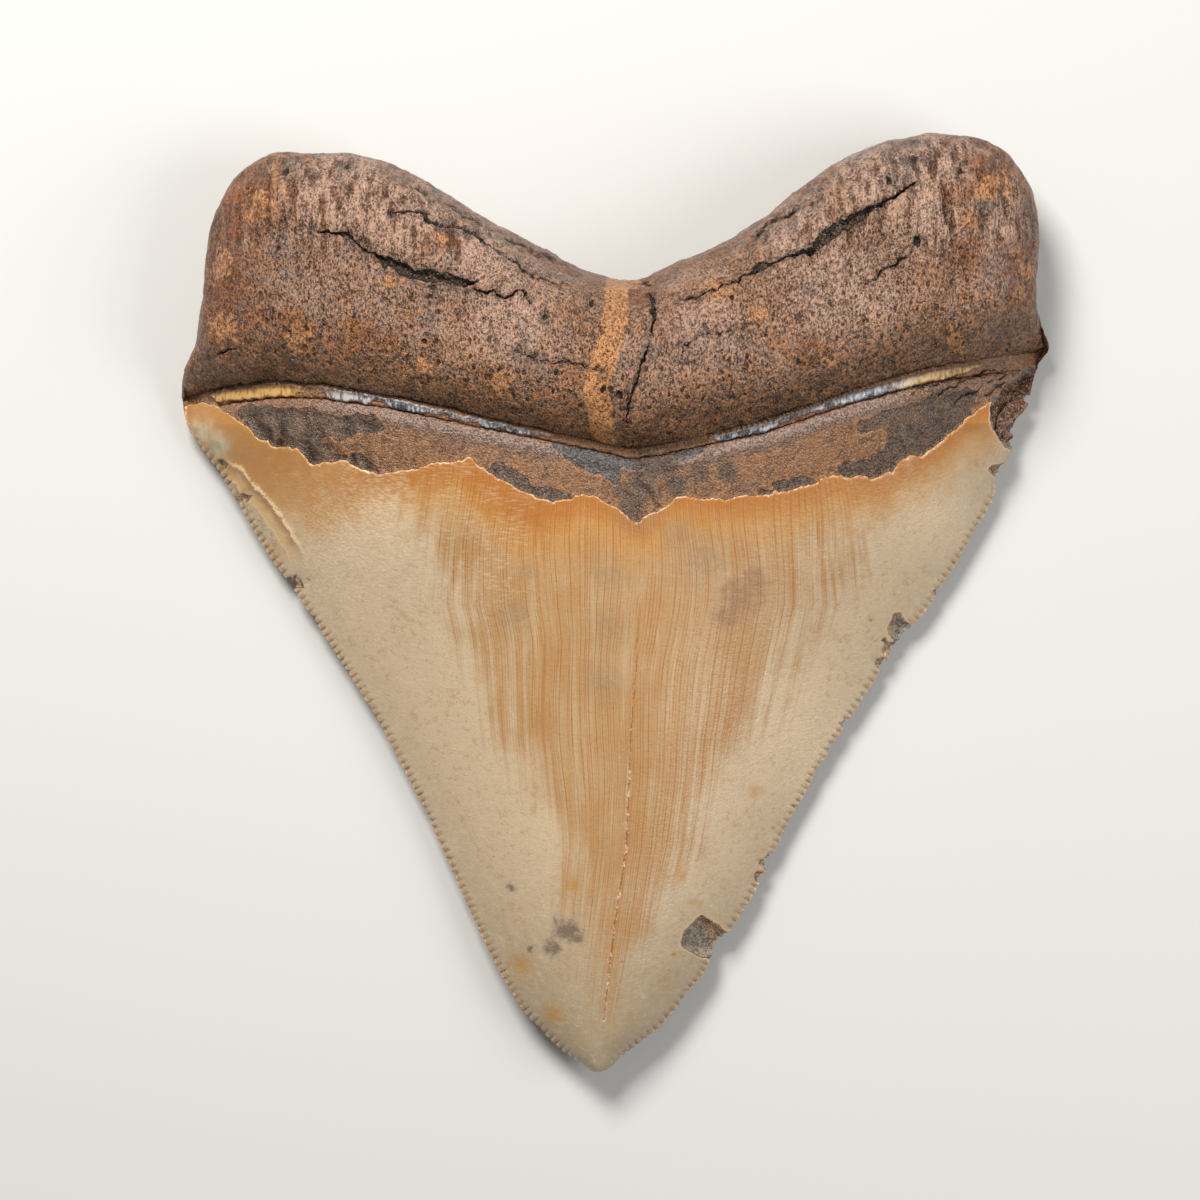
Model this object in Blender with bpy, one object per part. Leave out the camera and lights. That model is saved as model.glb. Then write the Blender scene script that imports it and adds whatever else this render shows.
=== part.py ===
"""A fossil tooth of a giant shark: one solid, lying on its flatter outer face.

+Y runs from the tip of the crown to the root, +X is to the right of someone who looks down
on the domed inner face, and +Z is up. The origin is the middle of the tooth's box, on the
plane that it rests on. Constants are in millimetres, and the mesh is in metres.
"""

import math

import bmesh
import bpy
import numpy as np
from mathutils import Vector
from mathutils.geometry import delaunay_2d_cdt

MM = 0.001

# Outline of the tooth seen from above, counter-clockwise from the tip.
TIP = [(-2.4, -62.3), (-0.4, -61.5), (1.7, -59.6)]
RIGHT_EDGE = [
    (5.6, -56.7), (9.2, -52.7), (12.2, -48.6), (13.1, -46.5), (14.6, -44.7), (17.0, -41.3),
    (19.1, -37.7), (22.6, -30.6), (27.3, -21.9), (30.5, -16.7), (33.8, -11.6), (38.0, -4.9),
    (39.1, -3.3), (40.7, -2.0), (46.0, 6.0), (49.1, 11.4), (50.8, 14.7),
]
BROKEN_SHOULDER = [
    (51.0, 17.0), (52.3, 19.3), (53.2, 21.4), (53.2, 24.2), (55.1, 26.6), (55.8, 29.7),
]
RIGHT_LOBE = [
    (56.8, 32.4), (57.7, 34.1), (56.8, 36.8), (56.0, 40.4), (55.9, 44.6), (56.0, 49.7),
    (55.6, 53.9), (53.8, 57.2), (51.1, 60.1), (47.7, 61.7), (43.0, 62.3), (38.1, 61.7),
    (33.5, 60.4), (28.9, 58.2),
]
NOTCH = [
    (25.2, 55.9), (19.3, 51.1), (13.9, 47.7), (8.6, 45.3), (5.3, 44.0), (3.3, 43.1),
    (0.9, 43.1), (-3.3, 44.1), (-9.3, 47.0), (-15.6, 50.2),
]
LEFT_LOBE = [
    (-22.0, 54.3), (-27.2, 57.2), (-31.5, 58.9), (-35.8, 59.7), (-41.1, 60.0), (-44.5, 60.0),
    (-47.4, 58.7), (-50.6, 55.8), (-53.3, 51.0), (-54.4, 45.7), (-55.0, 39.1), (-55.7, 34.4),
    (-57.2, 30.9), (-57.7, 27.6),
]
LEFT_EDGE = [
    (-57.3, 24.3), (-55.6, 21.3), (-53.2, 18.1), (-50.7, 14.0), (-48.8, 10.6), (-45.9, 6.0),
    (-43.2, 2.3), (-36.8, -7.4), (-33.2, -13.1), (-29.8, -19.1), (-26.9, -24.7),
    (-24.2, -30.4), (-18.3, -43.4), (-15.4, -49.0), (-12.4, -53.9), (-8.9, -57.7),
    (-5.3, -60.8),
]
OUTLINE = TIP + RIGHT_EDGE + BROKEN_SHOULDER + RIGHT_LOBE + NOTCH + LEFT_LOBE + LEFT_EDGE

# The crown's own outline, as it was before its right edge chipped and its shoulder broke.
WHOLE_RIGHT_EDGE = [
    (5.6, -56.7), (9.2, -52.7), (17.0, -41.3), (22.6, -30.6), (27.3, -21.9), (33.8, -11.6),
    (46.0, 6.0), (50.8, 14.7), (55.0, 22.0), (57.5, 27.0),
]
WHOLE_CROWN = TIP + WHOLE_RIGHT_EDGE + LEFT_LOBE[-1:] + LEFT_EDGE

# Neck: the line, from left to right, where the root overhangs the crown on the inner face.
NECK = [
    (-57.7, 27.5), (-52.0, 28.6), (-45.0, 29.1), (-38.0, 28.6), (-29.5, 27.1), (-19.5, 24.7),
    (-8.0, 22.2), (0.0, 20.4), (2.0, 19.8), (6.0, 20.5), (20.0, 23.8), (31.0, 27.8),
    (41.5, 30.9), (52.5, 33.0), (57.5, 33.7),
]
NECK_ROUNDING = 0.8  # how far its corners are rounded off, left and right

# Crown. Heights are above the plane that the tooth rests on.
TIP_Y = -62.3
CROWN_LENGTH = 85.0  # from the tip to the neck's middle
SHOULDER_Y = 24.0  # where the cutting edges end
EDGE_HEIGHT = 3.2  # cutting edges
TIP_LIFT = 2.0  # how much higher they are at the tip, which bends away from the plane
TIP_LIFT_FROM_Y = -30.0
CROWN_HEIGHT = 20.9  # top of the crown's dome at the neck
TIP_HEIGHT = 6.2  # top of the dome just behind the tip
RIDGE_POWER = 0.62  # how early the dome's ridge rises from the tip
HOLLOW_POWER = 1.2  # above 1, it hollows the lower crown just inside its edges
SHOULDER_POWER = 1.7  # above 1, it fills out the upper crown near its shoulders
FULL_SECTION_Y = (-10.0, 25.0)  # where the section turns from the one to the other

# Root.
ROOT_HEIGHT = 27.0  # top of its bulge, over the notch
LOBE_DROP = 8.6  # how far its top falls from there to LOBE_REACH either side
LOBE_REACH = 50.0
ROOT_RIM_HEIGHT = 9.0  # where it is widest
RIM_CHANGE = (-3.0, 9.0)  # above the neck, where the rim rises from cutting edge to root
NECK_DROP_LENGTH = 8.0  # how far above the neck it reaches its full height
NECK_DROP_POWER = 2.2  # how round its overhang above the neck is
ROOT_TOP_RADIUS = 10.5  # rounding of its sides, above its rim
ROOT_BASE_RADIUS = 8.0  # and below it

# Outer face, which lies on the plane.
CONTACT_DEPTH = 0.25  # how much is worn off where it rests
CROWN_REST_Y = -20.0  # middle of the place where the crown rests
TIP_BEND = 0.0026  # its rise with the square of the way from there to the tip, per mm
NECK_BEND = 0.0009  # and to the neck, per mm
BASE_BOW_POWER = 1.3  # above 1, it flattens the middle of the face
LOBE_REST = (45.0, 49.0)  # |x| and y of the places where the lobes rest
ROOT_HOLLOW = 1.6  # depth of the hollow between the lobes
LOBE_BEND = 0.004  # rise with the square of the way up or down from LOBE_REST, per mm
BASE_CHANGE = (-9.0, 5.0)  # above the neck, where crown turns into root

# Mesh.
FINE_STEPS = 24  # straight pieces of the fine curve between two corners of the outline
EDGE_STEP = 2.0  # spacing of points along the outline
FACE_STEP = 2.35  # spacing of points over the faces
CROWN_CLEARANCE = 1.1  # least distance of those from the outline on the crown
ROOT_RINGS = (0.35, 1.2, 2.6, 4.6)  # depths of the rows that follow the root's outline
ROOT_CLEARANCE = 6.0
RINGS_FROM = -6.0  # above the neck
SHARP_ANGLE = math.radians(40)

ROOT_BROWN = (0.16, 0.085, 0.045, 1.0)


def clear_scene():
    for obj in list(bpy.data.objects):
        bpy.data.objects.remove(obj, do_unlink=True)


def smooth_step(low, high, value):
    t = np.clip((value - low) / (high - low), 0.0, 1.0)
    return t * t * (3.0 - 2.0 * t)


def curve_piece(before, start, end, after):
    """Points of a centripetal Catmull-Rom curve from start up to, but not including, end."""
    knots = [0.0]
    for a, b in ((before, start), (start, end), (end, after)):
        knots.append(knots[-1] + math.sqrt(np.linalg.norm(b - a)))
    t0, t1, t2, t3 = knots
    t = np.linspace(t1, t2, FINE_STEPS, endpoint=False)[:, None]
    a1 = ((t1 - t) * before + (t - t0) * start) / (t1 - t0)
    a2 = ((t2 - t) * start + (t - t1) * end) / (t2 - t1)
    a3 = ((t3 - t) * end + (t - t2) * after) / (t3 - t2)
    b1 = ((t2 - t) * a1 + (t - t0) * a2) / (t2 - t0)
    b2 = ((t3 - t) * a2 + (t - t1) * a3) / (t3 - t1)
    return ((t2 - t) * b1 + (t - t1) * b2) / (t2 - t1)


def closed_curve(corners, step):
    """A smooth loop through the corners, as points about step apart."""
    points = np.array(corners, float)
    count = len(points)
    fine = np.vstack([
        curve_piece(points[i - 1], points[i], points[(i + 1) % count], points[(i + 2) % count])
        for i in range(count)
    ])
    loop = np.vstack([fine, fine[:1]])
    length = np.concatenate([[0.0], np.cumsum(np.linalg.norm(np.diff(loop, axis=0), axis=1))])
    places = np.linspace(0.0, length[-1], round(length[-1] / step), endpoint=False)
    return np.column_stack([np.interp(places, length, loop[:, axis]) for axis in (0, 1)])


def distance_to_loop(points, loop):
    """The distance of each point from the nearest side of the loop."""
    start = loop
    side = np.roll(loop, -1, axis=0) - loop
    offset = points[:, None, :] - start[None, :, :]
    along = np.clip((offset * side).sum(axis=2) / (side**2).sum(axis=1), 0.0, 1.0)
    return np.linalg.norm(offset - along[..., None] * side, axis=2).min(axis=1)


def inside_loop(points, loop):
    """Which points are inside the loop, by counting the sides that a ray along +X crosses."""
    x, y = points[:, :1], points[:, 1:]
    x1, y1 = loop[:, 0], loop[:, 1]
    x2, y2 = np.roll(x1, -1), np.roll(y1, -1)
    spans = (y1 > y) != (y2 > y)
    rise = np.where(y2 == y1, 1.0, y2 - y1)
    crossings = spans & (x < x1 + (y - y1) * (x2 - x1) / rise)
    return crossings.sum(axis=1) % 2 == 1


def neck_y(x):
    """Height of the neck line up the tooth, with its corners rounded off."""
    line = np.array(NECK)
    shifts = (-NECK_ROUNDING, 0.0, NECK_ROUNDING)
    return sum(np.interp(x + shift, line[:, 0], line[:, 1]) for shift in shifts) / len(shifts)


def above_neck(x, y):
    return y - neck_y(x)


def crown_span(y, crown):
    """The x of the whole crown's left and right edges at each y, constant above its shoulders."""
    ring = np.roll(crown, -int(crown[:, 1].argmin()), axis=0)
    spans = []
    for side in (np.vstack([ring[:1], ring[:0:-1]]), ring):
        edge = side[: int(np.argmax(side[:, 1] > SHOULDER_Y)) + 1]
        spans.append(np.interp(np.minimum(y, SHOULDER_Y), edge[:, 1], edge[:, 0]))
    return spans


def edge_height(y):
    return EDGE_HEIGHT + TIP_LIFT * smooth_step(TIP_LIFT_FROM_Y, TIP_Y, y)


def crown_bow(x, y, crown):
    """0 at the crown's cutting edges and 1 midway between them."""
    left, right = crown_span(y, crown)
    across = np.clip((x - left) / (right - left), 0.0, 1.0)
    return 4.0 * across * (1.0 - across)


def rim_height(x, y):
    """Height of the outline itself: the cutting edges, rising to the widest part of the root."""
    edge = edge_height(y)
    return edge + (ROOT_RIM_HEIGHT - edge) * smooth_step(*RIM_CHANGE, above_neck(x, y))


def crown_top(x, y, crown):
    """The domed inner face of the crown: hollowed slightly inside its cutting edges lower
    down, and fuller towards its shoulders."""
    bow = crown_bow(x, y, crown)
    full = smooth_step(*FULL_SECTION_Y, y)
    dome = (1.0 - full) * bow**HOLLOW_POWER + full * (1.0 - (1.0 - bow) ** SHOULDER_POWER)
    up = np.maximum((y - TIP_Y) / CROWN_LENGTH, 0.0)
    ridge = TIP_HEIGHT + (CROWN_HEIGHT - TIP_HEIGHT) * up**RIDGE_POWER
    edge = edge_height(y)
    return edge + (ridge - edge) * dome


def quarter_round(share):
    """The rise of a quarter circle over its own width, from 0 to 1."""
    return np.sqrt(1.0 - (1.0 - np.clip(share, 0.0, 1.0)) ** 2)


def top_height(x, y, depth, crown):
    """The inner face, where depth is the distance inside the outline."""
    dome = crown_top(x, y, crown)
    full = ROOT_HEIGHT - LOBE_DROP * (x / LOBE_REACH) ** 2
    rim = rim_height(x, y)
    root = rim + (full - rim) * quarter_round(depth / ROOT_TOP_RADIUS)
    above = np.clip(above_neck(x, y) / NECK_DROP_LENGTH, 0.0, 1.0)
    return dome + (root - dome) * (1.0 - (1.0 - above) ** NECK_DROP_POWER)


def base_height(x, y, depth, crown):
    """The outer face: nearly flat, and worn flat at zero in three places."""
    rim = rim_height(x, y)
    bend = np.where(y < CROWN_REST_Y, TIP_BEND, NECK_BEND) * (y - CROWN_REST_Y) ** 2
    lower = bend + (rim - bend) * (1.0 - crown_bow(x, y, crown)) ** BASE_BOW_POWER
    lobe_x, lobe_y = LOBE_REST
    flat = ROOT_HOLLOW * (1.0 - (x / lobe_x) ** 2) + LOBE_BEND * (y - lobe_y) ** 2
    root = rim + (flat - rim) * quarter_round(depth / ROOT_BASE_RADIUS)
    share = smooth_step(*BASE_CHANGE, above_neck(x, y))
    return np.maximum(lower + (root - lower) * share - CONTACT_DEPTH, 0.0)


def face_points(loop):
    """Points inside the outline: rows that follow it on the root, and an even hexagonal grid."""
    ahead = np.roll(loop, -1, axis=0) - np.roll(loop, 1, axis=0)
    inward = np.column_stack([-ahead[:, 1], ahead[:, 0]])
    inward /= np.linalg.norm(inward, axis=1, keepdims=True)
    on_root = above_neck(loop[:, 0], loop[:, 1]) > RINGS_FROM
    rows = []
    for depth in ROOT_RINGS:
        row = loop[on_root] + inward[on_root] * depth
        rows.append(row[distance_to_loop(row, loop) > 0.97 * depth])
    low, high = loop.min(axis=0), loop.max(axis=0)
    row_gap = FACE_STEP * math.sqrt(3) / 2
    grid = np.array([
        (x + (row % 2) * FACE_STEP / 2, y)
        for row, y in enumerate(np.arange(low[1], high[1], row_gap))
        for x in np.arange(low[0], high[0], FACE_STEP)
    ])
    grid = grid[inside_loop(grid, loop)]
    on_root = above_neck(grid[:, 0], grid[:, 1]) > RINGS_FROM
    clear = np.where(on_root, ROOT_CLEARANCE, CROWN_CLEARANCE)
    return np.vstack([*rows, grid[distance_to_loop(grid, loop) > clear]])


def add_face(mesh, plan, triangles, heights, rim, flip):
    """Lifts one face of the tooth to its heights. Both faces share the rim's vertices."""
    verts = list(rim)
    for (x, y), z in zip(plan[len(rim):], heights[len(rim):]):
        verts.append(mesh.verts.new(Vector((x, y, z)) * MM))
    for corners in triangles:
        ordered = reversed(corners) if flip else corners
        mesh.faces.new([verts[i] for i in ordered])


def make_material():
    material = bpy.data.materials.new("fossil_tooth")
    material.use_nodes = True
    shader = material.node_tree.nodes["Principled BSDF"]
    shader.inputs["Base Color"].default_value = ROOT_BROWN
    shader.inputs["Roughness"].default_value = 0.55
    shader.inputs["Metallic"].default_value = 0.0
    return material


def make_tooth():
    loop = closed_curve(OUTLINE, EDGE_STEP)
    middle = (loop.min(axis=0) + loop.max(axis=0)) / 2.0
    loop -= middle
    crown = closed_curve(WHOLE_CROWN, EDGE_STEP) - middle
    points = np.vstack([loop, face_points(loop)])
    sides = [(i, (i + 1) % len(loop)) for i in range(len(loop))]
    plan, _, triangles, *_ = delaunay_2d_cdt([Vector(p) for p in points], sides, [], 1, 1e-6)
    plan = np.array(plan)
    x, y = plan[:, 0], plan[:, 1]
    depth = distance_to_loop(plan, loop)
    rim_z = rim_height(loop[:, 0], loop[:, 1])
    top = top_height(x, y, depth, crown)
    base = base_height(x, y, depth, crown)

    mesh = bmesh.new()
    rim = [mesh.verts.new(Vector((px, py, z)) * MM) for (px, py), z in zip(loop, rim_z)]
    add_face(mesh, plan, triangles, top, rim, flip=False)
    add_face(mesh, plan, triangles, base, rim, flip=True)
    bmesh.ops.recalc_face_normals(mesh, faces=mesh.faces)
    data = bpy.data.meshes.new("tooth")
    mesh.to_mesh(data)
    mesh.free()
    data.shade_smooth()
    data.set_sharp_from_angle(angle=SHARP_ANGLE)
    data.materials.append(make_material())
    tooth = bpy.data.objects.new("tooth", data)
    bpy.context.scene.collection.objects.link(tooth)
    return tooth


clear_scene()
make_tooth()
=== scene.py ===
"""Looks of a fossil tooth of a giant shark, lying on its outer face under soft studio light.

The crown is glossy enamel, torn off below the neck, and the root is rough and cracked. Both are
one closed mesh that stands for the CAD solid. +Y runs from the tip to the root, and the camera
looks straight down. Constants are in millimetres, and the mesh is in metres.
"""

import math

import bpy
import numpy as np
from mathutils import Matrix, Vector, kdtree, noise
from mathutils.geometry import delaunay_2d_cdt


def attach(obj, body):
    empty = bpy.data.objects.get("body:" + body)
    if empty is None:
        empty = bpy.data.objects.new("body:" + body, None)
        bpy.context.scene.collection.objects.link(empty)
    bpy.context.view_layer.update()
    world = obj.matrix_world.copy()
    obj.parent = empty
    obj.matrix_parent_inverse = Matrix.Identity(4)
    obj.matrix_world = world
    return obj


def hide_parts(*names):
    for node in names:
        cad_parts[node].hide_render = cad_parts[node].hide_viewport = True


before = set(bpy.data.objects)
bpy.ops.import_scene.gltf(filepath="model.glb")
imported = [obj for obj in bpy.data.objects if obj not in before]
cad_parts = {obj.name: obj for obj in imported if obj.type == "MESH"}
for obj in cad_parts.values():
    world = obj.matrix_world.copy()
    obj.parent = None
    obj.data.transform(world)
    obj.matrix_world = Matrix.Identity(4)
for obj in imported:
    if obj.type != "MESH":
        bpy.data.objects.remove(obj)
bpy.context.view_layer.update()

MM = 0.001

# ---------------------------------------------------------------- the shape, as part.py has it
# Outline of the tooth seen from above, counter-clockwise from the tip.
TIP = [(-2.4, -62.3), (-0.4, -61.5), (1.7, -59.6)]
RIGHT_EDGE = [
    (5.6, -56.7), (9.2, -52.7), (12.2, -48.6), (13.1, -46.5), (14.6, -44.7), (17.0, -41.3),
    (19.1, -37.7), (22.6, -30.6), (27.3, -21.9), (30.5, -16.7), (33.8, -11.6), (38.0, -4.9),
    (39.1, -3.3), (40.7, -2.0), (46.0, 6.0), (49.1, 11.4), (50.8, 14.7),
]
BROKEN_SHOULDER = [
    (51.0, 17.0), (52.3, 19.3), (53.2, 21.4), (53.2, 24.2), (55.1, 26.6), (55.8, 29.7),
]
RIGHT_LOBE = [
    (56.8, 32.4), (57.7, 34.1), (56.8, 36.8), (56.0, 40.4), (55.9, 44.6), (56.0, 49.7),
    (55.6, 53.9), (53.8, 57.2), (51.1, 60.1), (47.7, 61.7), (43.0, 62.3), (38.1, 61.7),
    (33.5, 60.4), (28.9, 58.2),
]
NOTCH = [
    (25.2, 55.9), (19.3, 51.1), (13.9, 47.7), (8.6, 45.3), (5.3, 44.0), (3.3, 43.1),
    (0.9, 43.1), (-3.3, 44.1), (-9.3, 47.0), (-15.6, 50.2),
]
LEFT_LOBE = [
    (-22.0, 54.3), (-27.2, 57.2), (-31.5, 58.9), (-35.8, 59.7), (-41.1, 60.0), (-44.5, 60.0),
    (-47.4, 58.7), (-50.6, 55.8), (-53.3, 51.0), (-54.4, 45.7), (-55.0, 39.1), (-55.7, 34.4),
    (-57.2, 30.9), (-57.7, 27.6),
]
LEFT_EDGE = [
    (-57.3, 24.3), (-55.6, 21.3), (-53.2, 18.1), (-50.7, 14.0), (-48.8, 10.6), (-45.9, 6.0),
    (-43.2, 2.3), (-36.8, -7.4), (-33.2, -13.1), (-29.8, -19.1), (-26.9, -24.7),
    (-24.2, -30.4), (-18.3, -43.4), (-15.4, -49.0), (-12.4, -53.9), (-8.9, -57.7),
    (-5.3, -60.8),
]
OUTLINE = TIP + RIGHT_EDGE + BROKEN_SHOULDER + RIGHT_LOBE + NOTCH + LEFT_LOBE + LEFT_EDGE

# The crown's own outline, as it was before its right edge chipped and its shoulder broke.
WHOLE_RIGHT_EDGE = [
    (5.6, -56.7), (9.2, -52.7), (17.0, -41.3), (22.6, -30.6), (27.3, -21.9), (33.8, -11.6),
    (46.0, 6.0), (50.8, 14.7), (55.0, 22.0), (57.5, 27.0),
]
WHOLE_CROWN = TIP + WHOLE_RIGHT_EDGE + LEFT_LOBE[-1:] + LEFT_EDGE

# Neck: the line, from left to right, where the root overhangs the crown on the inner face.
NECK = [
    (-57.7, 27.5), (-52.0, 28.6), (-45.0, 29.1), (-38.0, 28.6), (-29.5, 27.1), (-19.5, 24.7),
    (-8.0, 22.2), (0.0, 20.4), (2.0, 19.8), (6.0, 20.5), (20.0, 23.8), (31.0, 27.8),
    (41.5, 30.9), (52.5, 33.0), (57.5, 33.7),
]
NECK_ROUNDING = 0.8  # how far its corners are rounded off, left and right

# Crown. Heights are above the plane that the tooth rests on.
TIP_Y = -62.3
CROWN_LENGTH = 85.0  # from the tip to the neck's middle
SHOULDER_Y = 24.0  # where the cutting edges end
EDGE_HEIGHT = 3.2  # cutting edges
TIP_LIFT = 2.0  # how much higher they are at the tip, which bends away from the plane
TIP_LIFT_FROM_Y = -30.0
CROWN_HEIGHT = 20.9  # top of the crown's dome at the neck
TIP_HEIGHT = 6.2  # top of the dome just behind the tip
RIDGE_POWER = 0.62  # how early the dome's ridge rises from the tip
HOLLOW_POWER = 1.2  # above 1, it hollows the lower crown just inside its edges
SHOULDER_POWER = 1.7  # above 1, it fills out the upper crown near its shoulders
FULL_SECTION_Y = (-10.0, 25.0)  # where the section turns from the one to the other

# Root.
ROOT_HEIGHT = 27.0  # top of its bulge, over the notch
LOBE_DROP = 8.6  # how far its top falls from there to LOBE_REACH either side
LOBE_REACH = 50.0
ROOT_RIM_HEIGHT = 9.0  # where it is widest
RIM_CHANGE = (-3.0, 9.0)  # above the neck, where the rim rises from cutting edge to root
NECK_DROP_LENGTH = 8.0  # how far above the neck it reaches its full height
NECK_DROP_POWER = 2.2  # how round its overhang above the neck is
ROOT_TOP_RADIUS = 10.5  # rounding of its sides, above its rim
ROOT_BASE_RADIUS = 8.0  # and below it

# Outer face, which lies on the plane.
CONTACT_DEPTH = 0.25  # how much is worn off where it rests
CROWN_REST_Y = -20.0  # middle of the place where the crown rests
TIP_BEND = 0.0026  # its rise with the square of the way from there to the tip, per mm
NECK_BEND = 0.0009  # and to the neck, per mm
BASE_BOW_POWER = 1.3  # above 1, it flattens the middle of the face
LOBE_REST = (45.0, 49.0)  # |x| and y of the places where the lobes rest
ROOT_HOLLOW = 1.6  # depth of the hollow between the lobes
LOBE_BEND = 0.004  # rise with the square of the way up or down from LOBE_REST, per mm
BASE_CHANGE = (-9.0, 5.0)  # above the neck, where crown turns into root

# ----------------------------------------------------------------- features of the surface
# Torn border of the enamel on the inner face, from left to right.
ENAMEL_EDGE = [
    (-58.0, 26.5), (-55.0, 27.0), (-52.5, 26.0), (-50.0, 24.5), (-47.0, 22.0), (-44.0, 20.5),
    (-42.0, 20.5), (-40.0, 18.5), (-35.5, 19.0), (-31.0, 17.0), (-27.5, 17.5), (-22.0, 18.5),
    (-19.0, 19.0), (-17.0, 17.5), (-12.5, 15.0), (-10.5, 14.0), (-7.0, 13.5), (-4.5, 14.5),
    (-2.5, 14.0), (0.0, 12.5), (2.5, 11.0), (5.0, 12.0), (8.0, 14.0), (12.5, 14.0),
    (20.0, 14.5), (25.0, 15.5), (28.5, 17.0), (34.0, 16.5), (36.5, 17.5), (37.5, 19.0),
    (40.0, 19.5), (43.0, 21.5), (47.0, 25.0), (50.0, 27.0), (56.0, 29.0),
]
EDGE_CRUMBLE = 0.45  # how far its crumbs and bays stray from that line
ENAMEL_STEP = 0.35  # how far the bare band lies below the enamel
BACK_EDGE = [(-58.0, 27.0), (-40.0, 29.0), (0.0, 29.5), (40.0, 31.0), (58.0, 33.0)]

# The band between the neck and the enamel, where the bare dentine shows.
SLIVER = [  # x, and the share of the gap from the neck to the split that a strip of enamel fills
    (-54.5, -0.2), (-53.0, 0.8), (-47.0, 1.0), (-42.5, 0.95), (-41.0, 0.2), (-38.5, 0.2),
    (-37.8, 1.0), (-32.5, 1.0), (-31.5, 0.5), (-30.3, 0.5), (-29.5, 0.95), (-25.5, 0.9),
    (-23.5, 0.65), (-18.0, 0.65), (-17.0, 0.9), (-12.0, 0.8), (-8.5, 0.4), (-6.0, -0.3),
    (11.0, -0.3), (13.5, 0.9), (19.5, 1.0), (21.5, 0.65), (26.0, 0.65), (28.0, 0.85),
    (33.0, 1.0), (44.0, 0.9), (48.0, 0.5), (50.0, -0.2),
]
NECK_GROOVE = 0.35  # depth of the groove between the root and that strip
SLIVER_YELLOW = [(-40.0, 1.0), (-38.0, 0.25), (-29.0, 0.0), (35.0, 0.0), (40.0, 0.9)]
SPLIT_DEPTH = 0.45  # of the thin crack below that strip
SPLIT_FROM_NECK = (0.9, 0.02)  # its distance below the neck, and what each mm of |x| adds
BAND_RIDGE = 2.3  # width of the rounded ridge under the split
BAND_RIDGE_RISE = 0.3
FLUTE_PITCH = 2.9  # soft upright folds in the band
FLUTE_LEAN = 0.25  # how far they lean over for each mm up
FLUTE_DEPTH = 0.16
FLUTED_LEFT_OF_X = (-26.0, -36.0)  # where they gain their full strength
FLUTED_ABOUT_X = 4.5  # and where some more stand, at the middle of the neck
ROOT_FOLD_DEPTH = 0.24
LOBE_FOLDS_Y = (42.0, 50.0)  # where the root's folds come in, towards the ends of its lobes
DARK_PATCHES = [
    [(-49.5, 26.0), (-46.0, 26.2), (-42.5, 26.0), (-39.5, 25.5), (-36.5, 24.5), (-33.5, 25.0),
     (-30.5, 23.8), (-30.5, 22.7), (-33.0, 22.5), (-36.0, 21.5), (-39.0, 22.3), (-38.5, 20.8),
     (-36.5, 19.3), (-33.5, 19.5), (-30.5, 16.5), (-36.0, 16.0), (-43.0, 18.5), (-49.0, 23.0)],
    [(-16.5, 17.3), (-14.5, 18.5), (-12.5, 17.3), (-10.5, 15.5), (-7.0, 14.8), (-5.5, 14.2),
     (-7.0, 12.5), (-12.0, 12.5), (-15.0, 15.0)],
    [(29.0, 18.0), (31.0, 18.7), (34.5, 19.5), (35.7, 21.0), (34.8, 23.2), (33.0, 22.4),
     (31.5, 23.5), (36.0, 25.5), (42.0, 27.0), (48.0, 28.5), (47.0, 25.5), (42.5, 20.5),
     (37.0, 16.0), (31.0, 15.5)],
    [(18.5, 14.6), (21.0, 15.7), (25.5, 16.5), (26.5, 15.5), (22.0, 14.0)],
]
BLUE_PATCHES = [
    [(-8.5, 21.5), (-5.0, 21.5), (-2.5, 20.8), (0.0, 20.0), (3.0, 19.2), (3.3, 17.6),
     (1.5, 18.0), (0.3, 17.4), (1.0, 16.3), (0.5, 15.6), (-1.0, 16.2), (-3.0, 17.2),
     (-4.5, 17.6), (-6.5, 18.8), (-7.8, 20.2)],
    [(7.3, 19.9), (8.5, 20.8), (11.5, 20.9), (11.0, 19.5), (8.0, 19.0)],
]
PATCH_STEP = 0.1  # how far a patch lies below the brown layer round it

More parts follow.
